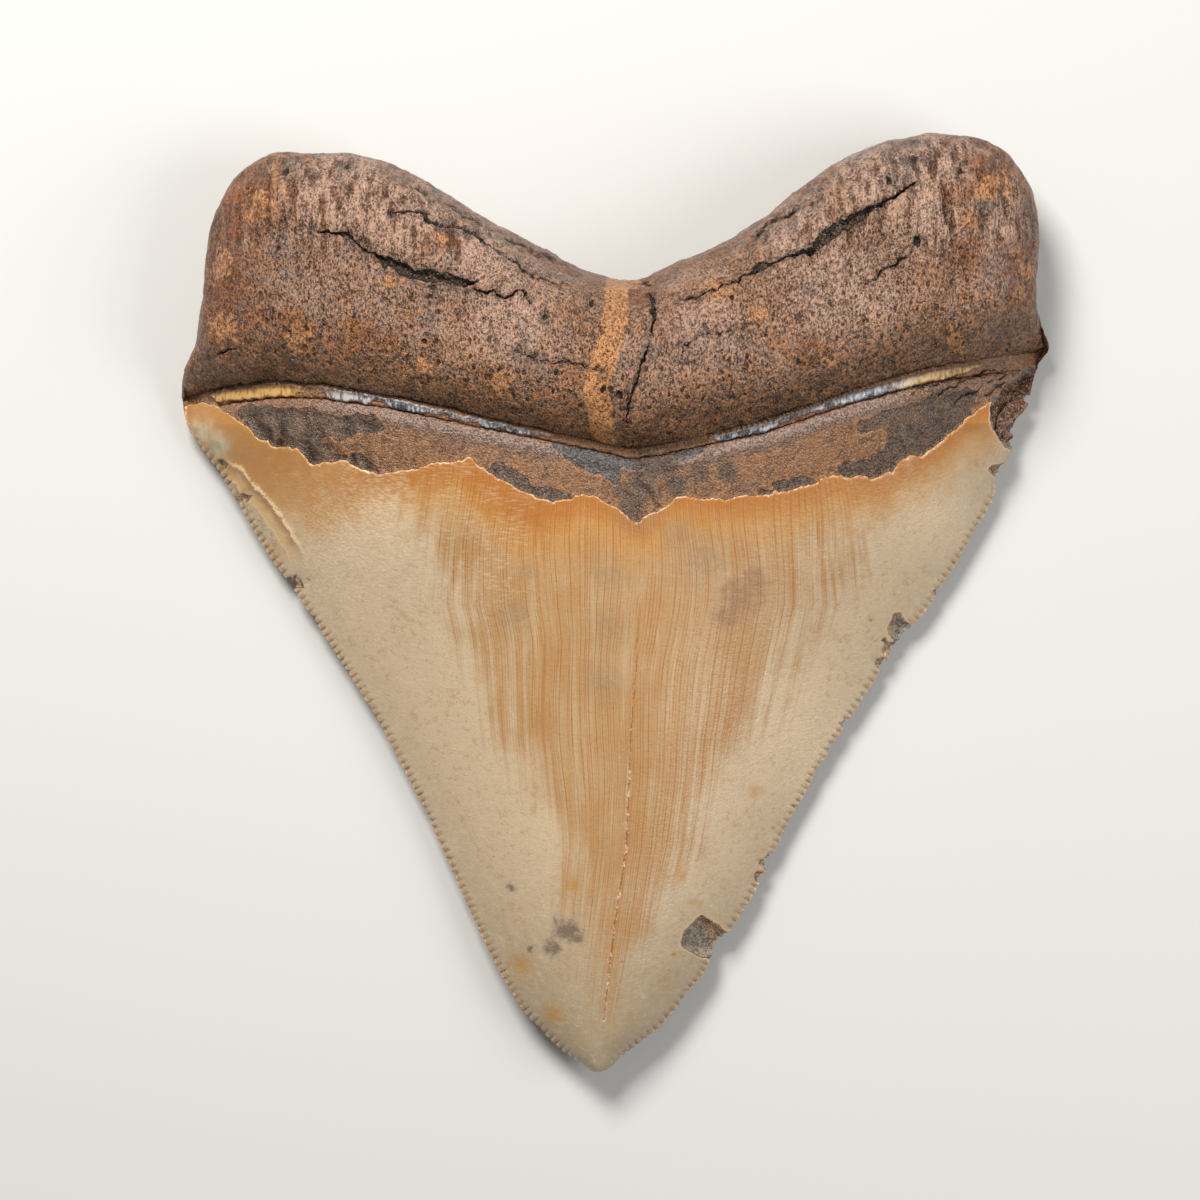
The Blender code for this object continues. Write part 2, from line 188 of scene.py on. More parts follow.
# Cracks, each as its greatest width, its depth, and places along it.
CRACKS = [
    (0.4, 0.6, [(-39.5, 48.5), (-36.5, 48.2), (-34.5, 48.0), (-32.5, 46.1), (-30.0, 44.7)]),
    (1.5, 1.0, [(-31.0, 45.2), (-28.0, 43.6), (-25.0, 42.6), (-22.5, 42.0), (-18.0, 41.6)]),
    (0.4, 0.6, [(-19.0, 40.9), (-16.5, 40.3), (-14.2, 39.6), (-11.9, 40.6), (-10.8, 38.6)]),
    (0.6, 0.7, [(-29.0, 50.8), (-25.2, 50.7), (-23.6, 49.4), (-19.7, 49.0), (-17.5, 47.5),
                (-15.3, 45.8), (-13.1, 44.4)]),
    (0.4, 0.6, [(-14.0, 44.8), (-10.3, 42.4), (-6.1, 41.5)]),
    (0.3, 0.35, [(-29.0, 55.7), (-23.5, 53.1), (-17.0, 49.6), (-11.0, 46.4), (-5.0, 43.9)]),
    (0.25, 0.3, [(-31.0, 53.5), (-29.5, 52.5), (-27.0, 52.3)]),
    (0.25, 0.4, [(-55.5, 32.5), (-52.5, 33.0), (-49.5, 33.6)]),
    (0.35, 0.6, [(8.0, 39.2), (10.5, 39.8), (15.0, 41.7)]),
    (0.6, 0.8, [(14.5, 41.4), (18.0, 43.3), (21.5, 44.7), (25.5, 45.8), (27.0, 47.4)]),
    (1.6, 1.0, [(24.8, 45.3), (27.5, 48.0), (30.0, 49.6), (33.5, 51.6)]),
    (0.5, 0.7, [(32.5, 50.9), (36.3, 53.0), (39.2, 55.0)]),
    (0.45, 0.6, [(17.0, 46.4), (19.7, 49.4), (22.0, 50.5), (25.8, 52.6)]),
    (0.35, 0.5, [(32.4, 41.3), (34.7, 43.4), (38.5, 45.6)]),
    (0.5, 0.7, [(4.0, 42.5), (4.9, 39.5), (4.9, 35.0)]),
    (0.3, 0.5, [(4.9, 36.0), (3.9, 32.3), (2.4, 28.0), (1.6, 25.5), (1.2, 22.5)]),
    (0.2, 0.3, [(-13.0, 32.5), (-9.0, 31.5), (-4.5, 31.0), (-1.0, 29.5)]),
    (0.2, 0.3, [(8.5, 33.5), (12.0, 35.0), (16.5, 35.5)]),
    (0.22, 0.3, [(38.0, 27.4), (40.5, 28.4), (43.5, 29.5), (47.0, 30.2)]),
    (0.25, 0.35, [(41.0, 26.8), (43.5, 28.4), (46.5, 29.8), (50.0, 31.0), (54.0, 32.0)]),
    (0.25, 0.35, [(44.5, 26.0), (46.5, 27.7), (49.0, 29.2), (52.0, 30.4), (55.0, 31.4)]),
    (0.22, 0.3, [(47.5, 26.2), (49.0, 27.6), (51.0, 29.0), (53.0, 29.9)]),
]
CRACK_STRAY = 0.5  # how far a crack's sides stray from those places

# Pits in the root, as x, y and radius.
PITS = [
    (-43.0, 56.7, 0.5), (-35.0, 57.5, 0.4), (39.0, 58.5, 0.4), (35.5, 55.0, 0.35),
    (39.0, 47.2, 0.6), (0.5, 27.0, 0.45), (-3.0, 39.0, 0.3), (-24.5, 34.0, 0.3),
    (-23.5, 41.0, 0.3), (-24.0, 39.8, 0.3), (-9.0, 37.0, 0.3), (-7.5, 30.0, 0.3),
    (15.0, 39.5, 0.3), (-43.8, 46.4, 0.3), (45.0, 56.5, 0.3), (-1.6, 27.8, 0.3),
]

# Orange band across the root's middle, from the notch to the neck.
STRIP = [
    (0.5, 43.5), (0.0, 38.0), (-0.5, 34.5), (-1.5, 31.5), (-2.5, 28.0), (-2.0, 25.0),
    (-1.0, 19.0),
]
STRIP_HALF_WIDTH = 1.6

# The thin crack up the crown's middle, from the top down.
MIDLINE = [(3.0, 14.0), (3.0, -4.5), (2.0, -17.5), (1.5, -32.0), (0.0, -41.5), (-1.5, -55.0)]
MIDLINE_DEPTH = 0.12
MIDLINE_CRUMBS_Y = (-12.0, -20.0)  # where pale crumbs begin to fill its crack
FLAKE_CREST = [  # where a long flake came off the left edge
    (-52.5, 20.5), (-51.5, 19.0), (-49.5, 18.0), (-48.0, 16.0), (-46.0, 14.0), (-44.5, 12.0),
    (-43.5, 10.5), (-42.0, 8.0), (-41.0, 6.0), (-40.8, 4.0),
]
FLAKE_PROFILE = [  # distance outside the crest, and the rise of the surface there
    (-0.45, 0.0), (-0.1, 0.08), (0.2, 0.08), (0.8, -0.1), (1.3, -0.14), (1.8, -0.08),
    (2.1, 0.0), (2.5, -0.1), (4.5, -0.12), (6.0, 0.0),
]
SHOULDER_BREAK_Y = (19.0, 21.0)  # the breaks above here are deep and brown
BREAKS = [  # depth and outline of each larger break of the crown's edge
    (2.0, [(57.5, 32.2), (55.2, 31.5), (53.9, 30.3), (52.2, 29.6), (51.3, 28.2), (49.9, 26.9),
           (49.6, 25.2), (49.9, 23.7), (50.7, 22.4), (51.6, 21.3), (53.0, 20.5), (61.0, 18.5),
           (61.0, 32.0)]),
    (0.8, [(49.6, 18.1), (50.5, 18.7), (55.0, 19.2), (55.0, 16.3), (51.2, 16.9), (50.3, 17.2)]),
    (0.9, [(8.7, -45.0), (9.2, -43.4), (10.3, -42.1), (11.6, -41.2), (13.4, -42.2),
           (15.4, -44.0), (18.0, -46.0), (15.0, -49.0), (12.6, -47.3), (11.4, -46.8),
           (10.0, -46.1)]),
    (0.6, [(36.4, -3.6), (36.6, -2.0), (37.6, -0.9), (38.6, -1.7), (40.2, -3.5), (39.2, -5.8),
           (37.5, -5.0)]),
]
BREAK_WALL = 0.8  # how far they reach round the edge onto the outer face
TAN_WALLS = [  # sloping sides of breaks, which are browner than their floors
    [(49.0, 17.8), (50.2, 19.3), (55.0, 20.0), (55.0, 15.8), (50.8, 16.2), (49.6, 16.8)],
    [(9.6, -42.7), (10.4, -41.6), (11.8, -40.9), (13.6, -42.0), (16.5, -44.2), (14.3, -45.5),
     (12.8, -43.8), (11.2, -42.6)],
    [(36.0, -3.8), (36.2, -1.8), (37.5, -0.5), (38.0, -1.4), (37.0, -2.4), (36.9, -4.2)],
]
# Small bites out of the cutting edges, as x, y and radius.
BITES = [
    (-52.4, 18.9, 0.8), (-49.5, 14.2, 0.9), (-42.4, 2.8, 1.2), (14.6, -45.7, 1.5),
    (37.0, -5.6, 1.0), (35.7, -8.0, 0.8), (31.0, -15.8, 0.6), (20.6, -34.4, 1.0),
    (19.4, -36.7, 0.8), (17.4, -40.4, 0.5), (43.4, 1.8, 0.6), (-33.0, -13.7, 0.5),
    (-21.6, -36.0, 0.5), (9.8, -51.9, 0.6),
]
BITE_DEPTH = 0.35
BITE_REACH = 0.45  # how far each cuts into the outline, as a share of its radius

# Soft round stains, each as x, y and radius.
STAINS = {
    # Rusty places of the root. The large one at its left end also darkens that end as painted
    # shade.
    "rust": [
        (-54.0, 38.0, 11.0), (-50.0, 54.0, 7.0), (48.5, 56.0, 3.5), (44.5, 54.0, 2.5),
        (56.0, 50.0, 5.0), (56.0, 38.0, 5.0), (53.5, 44.5, 2.6), (53.5, 40.5, 2.6),
        (2.0, 42.5, 3.5), (-16.0, 29.0, 3.0), (43.0, 35.0, 2.5), (45.5, 45.5, 2.0),
        (-33.0, 33.5, 4.0), (12.0, 38.5, 2.5), (25.0, 33.0, 3.0), (-22.0, 47.5, 2.2),
        (-43.0, 35.5, 4.0),
    ],
    # Painted highlights: paler places on the tops of the root's lobes, and painted sheen on the
    # crown's sides.
    "pale": [
        (-36.0, 54.0, 7.0), (-27.0, 50.0, 6.0), (-18.0, 45.5, 5.0), (-14.0, 36.0, 6.0),
        (24.0, 48.5, 5.0), (34.0, 56.0, 6.0), (42.0, 58.0, 5.0), (52.0, 50.0, 3.0),
        (30.0, 41.0, 8.0), (41.0, 50.0, 5.0), (12.0, 36.0, 5.0), (-36.0, 7.0, 8.0),
        (-31.0, 11.0, 5.0), (42.0, 12.0, 5.0), (25.0, -18.0, 8.0),
    ],
    # The root's brightest orange places.
    "orange": [
        (50.0, 55.5, 2.0), (47.5, 53.5, 1.5), (46.2, 50.0, 1.4), (53.8, 44.0, 1.8),
        (53.5, 41.0, 1.3), (44.5, 34.0, 1.6), (13.5, 40.8, 1.7), (18.0, 37.5, 1.3),
        (-22.5, 47.5, 1.0), (-41.5, 34.5, 1.5), (-29.5, 42.0, 0.9), (-25.0, 31.0, 1.2),
        (-14.5, 29.0, 1.6), (-47.0, 52.0, 2.5), (-52.0, 44.0, 2.0), (-51.0, 36.5, 2.0),
        (2.5, 42.0, 1.6), (-44.0, 57.5, 1.5),
    ],
    # Dark places of the band.
    "shade": [
        (2.2, 12.6, 2.2), (4.0, 15.5, 2.6), (1.5, 15.0, 1.8), (4.0, 18.0, 2.0), (6.5, 18.0, 2.4),
        (8.0, 15.5, 1.8), (11.0, 17.0, 1.6), (14.5, 17.5, 1.8), (44.0, 26.0, 4.0),
    ],
    # Stains of the enamel.
    "cream": [(-55.0, 23.0, 1.6), (-53.0, 21.2, 1.6)],
    "smudge": [(16.3, 1.2, 3.2), (14.6, -1.5, 2.2), (18.2, 3.2, 2.2)],
    "speck": [
        (-13.7, -37.5, 1.0), (-6.4, -42.9, 2.4), (-8.2, -45.2, 1.6), (-11.3, -45.7, 0.9),
        (-4.9, -44.0, 1.2),
    ],
    "ochre": [
        (-12.4, -47.8, 1.3), (-8.2, -54.4, 1.1), (-5.6, -36.9, 0.9), (-46.0, 7.0, 1.6),
        (8.8, -35.8, 0.5), (9.9, -39.1, 0.45), (11.2, -39.5, 0.4), (18.4, -24.6, 0.6),
    ],
    "grey": [
        (3.0, 12.0, 3.0), (-0.5, 4.0, 2.6), (-1.0, -3.0, 2.6), (-1.5, -10.0, 2.6),
        (11.5, 6.5, 3.5), (8.0, 9.0, 2.5), (-11.2, 4.3, 1.2), (-13.5, -1.5, 2.0),
    ],
}

# Rusty flecks of the enamel.
FLECKS = [
    (21.1, -27.3), (21.1, -29.8), (16.6, -29.7), (3.9, -31.1), (6.6, -31.2), (7.2, -48.3),
    (7.8, -46.4), (6.8, -42.9), (0.9, -47.0), (-40.0, 6.5), (29.5, -13.0), (34.0, -2.0),
]
FLECK_RADIUS = 0.34

# Lines in the enamel. They run up the crown, close in towards the tip, and fan out above.
STREAKS_CLOSE_IN = (0.55, -60.0, 0.0)  # share of their spread at the first y, full at the second
FAN_LEAN = 0.5  # their lean at FAN_REACH from the midline
FAN_REACH = 47.0
FAN_FROM_Y = 0.0
CENTRE = (24.0, 0.43)  # half width of their streaked middle at y = 0, and what each mm up adds
STREAKS_FADE_Y = (-61.0, -47.0)
BOLD_LINES = (0.83, 0.12)  # pitch of the lines and their half width
FAINT_LINES = (0.43, 0.1)

# Serrations of the cutting edges.
SERRATED_TO_Y = ((24.0, 20.0), (15.5, 14.0))  # where they fade out, left and right
PLAIN_TIP = (0.5, 4.0)  # distances from the tip where they fade in
SERRATION_PITCH = 1.0
SERRATION_DEPTH = 0.3
SERRATION_LEAST = 0.75  # what SERRATION_SIZES add to, as shares of that depth
SERRATION_ROUNDNESS = 0.55  # under 1, it rounds the teeth and narrows the notches
GROOVE_DEPTH = 0.26  # how far a notch goes on into the face
GROOVE_LENGTH = 1.3
EDGE_WEAR = 0.22
SHOULDER_CRUMBLE = 0.35  # how far crumbs have fallen from the broken shoulder's outline
SHOULDER_FROM_Y = (15.0, 17.0)  # where that begins, up the outline
SHOULDER_TO_Y = (33.0, 31.0)  # and where it ends

# Noises that shape the surface. Each is a height, the size of its lumps and a seed of its own.
SERRATION_STRAY = (0.8, 9.0, 1)
SERRATION_SIZES = ((0.45, 6.0, 2), (0.5, 1.3, 9))
EDGE_CRUMBS = ((1.0, 3.0, 3), (0.5, 1.1, 4))
SHOULDER_CRUMBS = ((1.0, 1.6, 16), (1.0, 0.8, 17))
BITE_SHAPE = (0.8, 0.9, 14)
BORDER_CRUMBS = ((1.0, 1.6, 5), (0.5, 0.55, 6), (0.25, 0.3, 7))
BACK_BORDER_WAVE = (0.6, 7.0, 8)
CRACK_SWELL = ((0.7, 2.2, 13), (0.3, 0.7, 15))
PIT_SHAPE = (0.9, 0.7, 30)
ROOT_LUMPS = ((0.36, 7.0, 20), (0.26, 3.0, 21))
ROOT_GRAIN = ((0.17, 1.1, 22), (0.15, 0.62, 23))
ROOT_GRAIN_AMOUNT = (0.7, 5.0, 24)
ROOT_FOLDS = (1.8, 1.15, 25)
BAND_LUMPS = ((0.06, 1.1, 40), (0.05, 0.6, 41))
FLUTE_STRAY = (2.2, 3.2, 42)
FLUTE_STRENGTH = (1.0, 2.6, 43)
BREAK_LUMPS = ((0.22, 1.3, 44), (0.16, 0.6, 45))
FINE_STRAY = (0.5, 50)  # these two shift places in both directions: size and seed
WIDE_STRAY = (1.3, 51)
GRAIN_STRETCH = np.array([1.0, 0.45, 0.7])  # grain and folds are drawn out where this is below 1
FOLD_STRETCH = np.array([1.0, 0.22, 0.4])

# Material.
ENAMEL_ROUGHNESS = 0.34
ROOT_ROUGHNESS = 0.28
BUMP_HEIGHT = 0.42  # of the fine grain, which is finer than the mesh
BUMP_STRENGTH = 0.8
REFRACTION = 1.5
NOISE_MIDDLE = 0.5  # what a shader's noise averages

# Studio. Each soft box has its place, size, power in watts and colour.
WARM_WHITE = (1.0, 0.98, 0.95)
COOL_WHITE = (0.97, 0.98, 1.0)
SOFT_BOXES = {
    "key": ((-150.0, 330.0, 430.0), 190.0, 3.85, WARM_WHITE),
    "fill": ((380.0, -40.0, 380.0), 300.0, 1.4, COOL_WHITE),
}
SKY_STRENGTH = 0.21
FLOOR_SIZE = 4000.0
FLOOR_GAP = 0.05  # how far the floor is below the tooth
FLOOR_ROUGHNESS = 0.85
CAMERA_PLACE = (-2.0, 0.67, 605.0)
CAMERA_LENS = 135.0
CAMERA_SENSOR = 36.0

# Mesh.
FINE_STEPS = 24  # straight pieces of the fine curve between two corners of the outline
EDGE_STEP = 0.16  # spacing of points along the cutting edges
ROOT_EDGE_STRIDE = 3  # the root's outline takes one in this many of them
FRONT_GRID = 0.2  # the finest grid of each face; its others are twice and four times that
BACK_GRID = 0.26
GRID_JITTER = 0.12  # how far its points are moved off it, as a share of its spacing
EDGE_ROW = 0.45  # how far inside the cutting edges the first row of points lies
FINE_BY_LINES = 0.75  # how far round the border, cracks and pits the finest grid reaches
FINE_BY_BREAKS = 1.6
FINE_BY_SPLIT = 1.1
FINE_BY_EDGE = 1.4
MIDDLE_FROM = -9.5  # above the neck, where the crown's coarsest grid ends
BACK_FINE_BY_EDGE = 1.1
BACK_FINE_BY_BORDER = 0.5
FRONT_RINGS = (20, 0.042)  # number of rows that follow the root's outline, and radians between
BACK_RINGS = (10, 0.08)
RINGS_FROM = -6.0  # above the neck
SHARP_ANGLE = math.radians(70)
SEED = 7
FAR = 9.0  # stands for a distance that is too great to matter

# ------------------------------------------------------------------------------- colours
# As red, green and blue of a display, from 0 to 255. Pairs are the two ends of a blend.
# Enamel.
BEIGE = (198, 175, 143)
EDGE_BEIGE = (172, 154, 128)
TIP_BEIGE = (166, 148, 120)
MIDDLE_TAN = (172, 132, 84)
MIDDLE_BROWN = (176, 128, 72)
MIDDLE_CREAM = (196, 176, 140)
PALE_MOTTLE = (208, 184, 150)
BROWN_MOTTLE = (172, 132, 86)
ORANGE_MOTTLE = (184, 120, 62)
GOLDEN_BORDER = (188, 136, 72)
ORANGE_BORDER = (168, 102, 38)
BOLD_LINE = (158, 94, 38)
FAINT_LINE = (168, 104, 46)
PAINTED_SHEEN = (220, 196, 163)
SCRATCH = (226, 208, 180)
GREY_STAIN = (136, 118, 92)
BROWN_SMUDGE = (144, 106, 76)
OCHRE_STAIN = (178, 128, 58)
CORNER_CREAM = ((164, 156, 128), (206, 190, 156))
DARK_SPECK = (98, 82, 72)
RUSTY_FLECK = (186, 116, 48)
MIDLINE_STAIN = (176, 112, 54)
MIDLINE_CRACK = (104, 70, 52)
MIDLINE_CRUMB = (226, 200, 176)
EDGE_GRIME = (126, 98, 70)
NOTCH_DIRT_AND_SHADE = (118, 74, 42)
WORN_EDGE_AND_HIGHLIGHT = ((186, 132, 82), (218, 190, 154))
BORDER_CRUMB = (226, 192, 150)
FLAKE_FACET = ((196, 180, 148), (146, 126, 98))
FLAKE_VALLEY = ((168, 112, 58), (206, 172, 120))
FLAKE_CREAM = (238, 214, 168)
# Bare band, and the strip of enamel above it.
BAND_BROWN = ((92, 62, 40), (160, 117, 82))
BAND_RUST = (142, 97, 60)
BAND_UMBER = (92, 68, 52)
RIDGE_PINK_AND_HIGHLIGHT = ((84, 66, 58), (164, 140, 126))
PATCH_BLACK = ((50, 38, 31), (122, 98, 80))
PATCH_WEAR = (126, 92, 60)
PATCH_SLATE = ((56, 51, 50), (114, 106, 102))
PATCH_RIM_HIGHLIGHT = (182, 126, 86)
PATCH_OUTLINE = (44, 32, 26)
SPLIT_RUST = (170, 106, 56)
BAND_CRACK = (32, 22, 18)
SLIVER_WHITE = ((58, 60, 66), (180, 180, 184))
SLIVER_GOLD = ((140, 98, 52), (204, 160, 96))
SLIVER_SHADE = (62, 56, 54)
SLIVER_RIM = (160, 102, 54)
# Root.
ROOT_GROUND = ((66, 42, 29), (178, 140, 116))
ROOT_BROWN = ((58, 36, 20), (162, 112, 72))
VALLEY_BROWN_AND_SHADE = ((62, 38, 22), (140, 92, 56))
ROOT_RUST_AND_SHADE = ((60, 32, 13), (142, 86, 42))
LOBE_RUST_AND_SHADE = ((62, 32, 8), (146, 82, 30))
PAINTED_ROOT_HIGHLIGHT = ((98, 70, 54), (196, 160, 138))
ROOT_SHADOW = ((52, 42, 36), (120, 102, 90))
NECK_UMBER = ((36, 24, 16), (136, 96, 62))
ROOT_ORANGE = ((116, 70, 38), (208, 148, 94))
PIT = (44, 30, 22)
ORANGE_CRUMB = (196, 122, 60)
PORE = (34, 23, 17)
CRACK_HALO = (62, 46, 38)
CRACK_RUST = (160, 100, 56)
CRACK_INSIDE = ((30, 22, 18), (124, 98, 74))
NECK_SHADOW = (36, 29, 25)
# Breaks, and the floor.
BREAK_SLATE = ((88, 80, 70), (166, 152, 130))
BREAK_TAN = ((114, 84, 60), (190, 152, 116))
BREAK_BROWN = ((40, 24, 18), (138, 92, 64))
BREAK_PINK = (208, 170, 144)
BREAK_RIM = (206, 172, 132)
FLOOR_GREY = (206, 205, 201)


def smooth_step(low, high, value):
    t = np.clip((value - low) / (high - low), 0.0, 1.0)
    return t * t * (3.0 - 2.0 * t)


def curve_piece(before, start, end, after):
    """Points of a centripetal Catmull-Rom curve from start up to, but not including, end."""
    knots = [0.0]
    for a, b in ((before, start), (start, end), (end, after)):
        knots.append(knots[-1] + math.sqrt(np.linalg.norm(b - a)))
    t0, t1, t2, t3 = knots
    t = np.linspace(t1, t2, FINE_STEPS, endpoint=False)[:, None]
    a1 = ((t1 - t) * before + (t - t0) * start) / (t1 - t0)
    a2 = ((t2 - t) * start + (t - t1) * end) / (t2 - t1)
    a3 = ((t3 - t) * end + (t - t2) * after) / (t3 - t2)
    b1 = ((t2 - t) * a1 + (t - t0) * a2) / (t2 - t0)
    b2 = ((t3 - t) * a2 + (t - t1) * a3) / (t3 - t1)
    return ((t2 - t) * b1 + (t - t1) * b2) / (t2 - t1)


def closed_curve(corners, step):
    """A smooth loop through the corners, as points about step apart."""
    points = np.array(corners, float)
    count = len(points)
    fine = np.vstack([
        curve_piece(points[i - 1], points[i], points[(i + 1) % count], points[(i + 2) % count])
        for i in range(count)
    ])
    loop = np.vstack([fine, fine[:1]])
    length = np.concatenate([[0.0], np.cumsum(np.linalg.norm(np.diff(loop, axis=0), axis=1))])
    places = np.linspace(0.0, length[-1], round(length[-1] / step), endpoint=False)
    return np.column_stack([np.interp(places, length, loop[:, axis]) for axis in (0, 1)])


def clockwise(loop):
    x, y = loop[:, 0], loop[:, 1]
    return (x * np.roll(y, -1) - y * np.roll(x, -1)).sum() < 0.0


def inward(loop):
    """The unit vector into the counter-clockwise loop at each of its points."""
    ahead = np.roll(loop, -1, axis=0) - np.roll(loop, 1, axis=0)
    across = np.column_stack([-ahead[:, 1], ahead[:, 0]])
    return across / np.linalg.norm(across, axis=1, keepdims=True)


def nearest_places(points, places):
    """For each point, the number of the nearest place and the distance to it."""
    tree = kdtree.KDTree(len(places))
    for i, (x, y) in enumerate(np.asarray(places).tolist()):
        tree.insert((x, y, 0.0), i)
    tree.balance()
    found = [tree.find((x, y, 0.0))[1:] for x, y in points.tolist()]
    numbers, distances = zip(*found)
    return np.array(numbers), np.array(distances)


def depth_inside(points, loop):
    """How far each point is inside a finely stepped loop, negative outside it, and the number
    of the loop's nearest point."""
    nearest, _ = nearest_places(points, loop)
    depths = []
    for start in (nearest - 1, nearest):
        side = loop[(start + 1) % len(loop)] - loop[start]
        offset = points - loop[start]
        length = np.linalg.norm(side, axis=1)
        share = np.clip((offset * side).sum(axis=1) / length**2, 0.0, 1.0)
        gap = np.linalg.norm(offset - share[:, None] * side, axis=1)
        left = side[:, 0] * offset[:, 1] - side[:, 1] * offset[:, 0]
        depths.append(np.where(left < 0.0, -gap, gap))
    first, second = depths
    return np.where(np.abs(first) < np.abs(second), first, second), nearest


def along_line(points, line):
    """Distance of each point from an open line, and the share of the line before the place
    on it that is nearest."""
    line = np.array(line)
    side = np.diff(line, axis=0)
    length = np.linalg.norm(side, axis=1)
    offset = points[:, None, :] - line[None, :-1, :]
    share = np.clip((offset * side).sum(axis=2) / length**2, 0.0, 1.0)
    gap = np.linalg.norm(offset - share[..., None] * side, axis=2)
    row = np.arange(len(points))
    best = gap.argmin(axis=1)
    before = np.cumsum(length) - length
    reached = before[best] + share[row, best] * length[best]
    return gap[row, best], reached / length.sum()


def at(line, x):
    """The y at each x of a line that is given by its corners from left to right."""
    return np.interp(x, *np.array(line).T)


def beside(line, y):
    """The x at each y of a line that is given by its corners from the top down."""
    return np.interp(y, *np.array(line)[::-1, ::-1].T)


def neck_y(x):
    """Height of the neck line up the tooth, with its corners rounded off."""
    shifts = (-NECK_ROUNDING, 0.0, NECK_ROUNDING)
    return sum(at(NECK, x + shift) for shift in shifts) / len(shifts)


def above_neck(x, y):
    return y - neck_y(x)


def crown_span(y, crown):
    """The x of the whole crown's left and right edges at each y, constant above its shoulders."""
    ring = np.roll(crown, -int(crown[:, 1].argmin()), axis=0)
    spans = []
    for side in (np.vstack([ring[:1], ring[:0:-1]]), ring):
        edge = side[: int(np.argmax(side[:, 1] > SHOULDER_Y)) + 1]
        spans.append(np.interp(np.minimum(y, SHOULDER_Y), edge[:, 1], edge[:, 0]))
    return spans


def edge_height(y):
    return EDGE_HEIGHT + TIP_LIFT * smooth_step(TIP_LIFT_FROM_Y, TIP_Y, y)


def crown_bow(x, y, crown):
    """0 at the crown's cutting edges and 1 midway between them."""
    left, right = crown_span(y, crown)
    across = np.clip((x - left) / np.maximum(right - left, 1e-6), 0.0, 1.0)
    return 4.0 * across * (1.0 - across)


def rim_height(x, y):
    """Height of the outline itself: the cutting edges, rising to the widest part of the root."""
    edge = edge_height(y)
    return edge + (ROOT_RIM_HEIGHT - edge) * smooth_step(*RIM_CHANGE, above_neck(x, y))


def crown_top(x, y, crown):
    """The domed inner face of the crown: hollowed slightly inside its cutting edges lower
    down, and fuller towards its shoulders."""
    bow = crown_bow(x, y, crown)
    full = smooth_step(*FULL_SECTION_Y, y)
    dome = (1.0 - full) * bow**HOLLOW_POWER + full * (1.0 - (1.0 - bow) ** SHOULDER_POWER)
    up = np.maximum((y - TIP_Y) / CROWN_LENGTH, 0.0)
    ridge = TIP_HEIGHT + (CROWN_HEIGHT - TIP_HEIGHT) * up**RIDGE_POWER
    edge = edge_height(y)
    return edge + (ridge - edge) * dome


def quarter_round(share):
    """The rise of a quarter circle over its own width, from 0 to 1."""
    return np.sqrt(1.0 - (1.0 - np.clip(share, 0.0, 1.0)) ** 2)


def top_height(x, y, depth, crown):
    """The inner face, where depth is the distance inside the outline."""
    dome = crown_top(x, y, crown)
    full = ROOT_HEIGHT - LOBE_DROP * (x / LOBE_REACH) ** 2
    rim = rim_height(x, y)
    root = rim + (full - rim) * quarter_round(depth / ROOT_TOP_RADIUS)
    above = np.clip(above_neck(x, y) / NECK_DROP_LENGTH, 0.0, 1.0)
    return dome + (root - dome) * (1.0 - (1.0 - above) ** NECK_DROP_POWER)


def base_height(x, y, depth, crown):
    """The outer face: nearly flat, and worn flat at zero in three places."""
    rim = rim_height(x, y)
    bend = np.where(y < CROWN_REST_Y, TIP_BEND, NECK_BEND) * (y - CROWN_REST_Y) ** 2
    lower = bend + (rim - bend) * (1.0 - crown_bow(x, y, crown)) ** BASE_BOW_POWER
    lobe_x, lobe_y = LOBE_REST
    flat = ROOT_HOLLOW * (1.0 - (x / lobe_x) ** 2) + LOBE_BEND * (y - lobe_y) ** 2
    root = rim + (flat - rim) * quarter_round(depth / ROOT_BASE_RADIUS)
    share = smooth_step(*BASE_CHANGE, above_neck(x, y))
    return np.maximum(lower + (root - lower) * share - CONTACT_DEPTH, 0.0)


# ------------------------------------------------------------------------- plan of the mesh


def rough(points, size, seed):
    """Noise from about -1 to 1 at each point, with lumps about as wide as size."""
    places = np.zeros((len(points), 3))
    places[:, : points.shape[1]] = points / size
    places += np.array([13.7, 7.3, 3.1]) * seed
    return np.array([noise.noise(place) for place in places.tolist()])


def lumps(points, *noises):
    """The sum of noises that are given by their height, size and seed."""
    return sum(height * rough(points, size, seed) for height, size, seed in noises)


def stray(points, size, seed):
    """Noise in both directions, to move points by."""
    return np.column_stack([rough(points, size, seed), rough(points, size, seed + 0.5)])


def serrated(loop):
    """How much each point of the smooth outline counts as a cutting edge, from 0 to 1."""
    x, y = loop[:, 0], loop[:, 1]
    left, right = (smooth_step(*fade, y) for fade in SERRATED_TO_Y)
    from_tip = np.hypot(x - TIP[0][0], y - TIP[0][1])
    return np.where(x > 0, right, left) * smooth_step(*PLAIN_TIP, from_tip)


def notch_depths(loop):
    """How far each notch of the serrations bites in at each point, from 0 to 1."""
    along = np.arange(len(loop)) * EDGE_STEP
    wander = lumps(along[:, None], SERRATION_STRAY)
    tooth = np.abs(np.sin(math.pi * (along / SERRATION_PITCH + wander)))
    return 1.0 - tooth**SERRATION_ROUNDNESS


def bites(points):
    """How far inside the nearest small bite each point is."""
    inside = np.zeros(len(points))
    ragged = 1.0 + lumps(points, BITE_SHAPE)
    for x, y, radius in BITES:
        gap = np.hypot(points[:, 0] - x, points[:, 1] - y) * ragged
        inside = np.maximum(inside, radius - gap)
    return inside


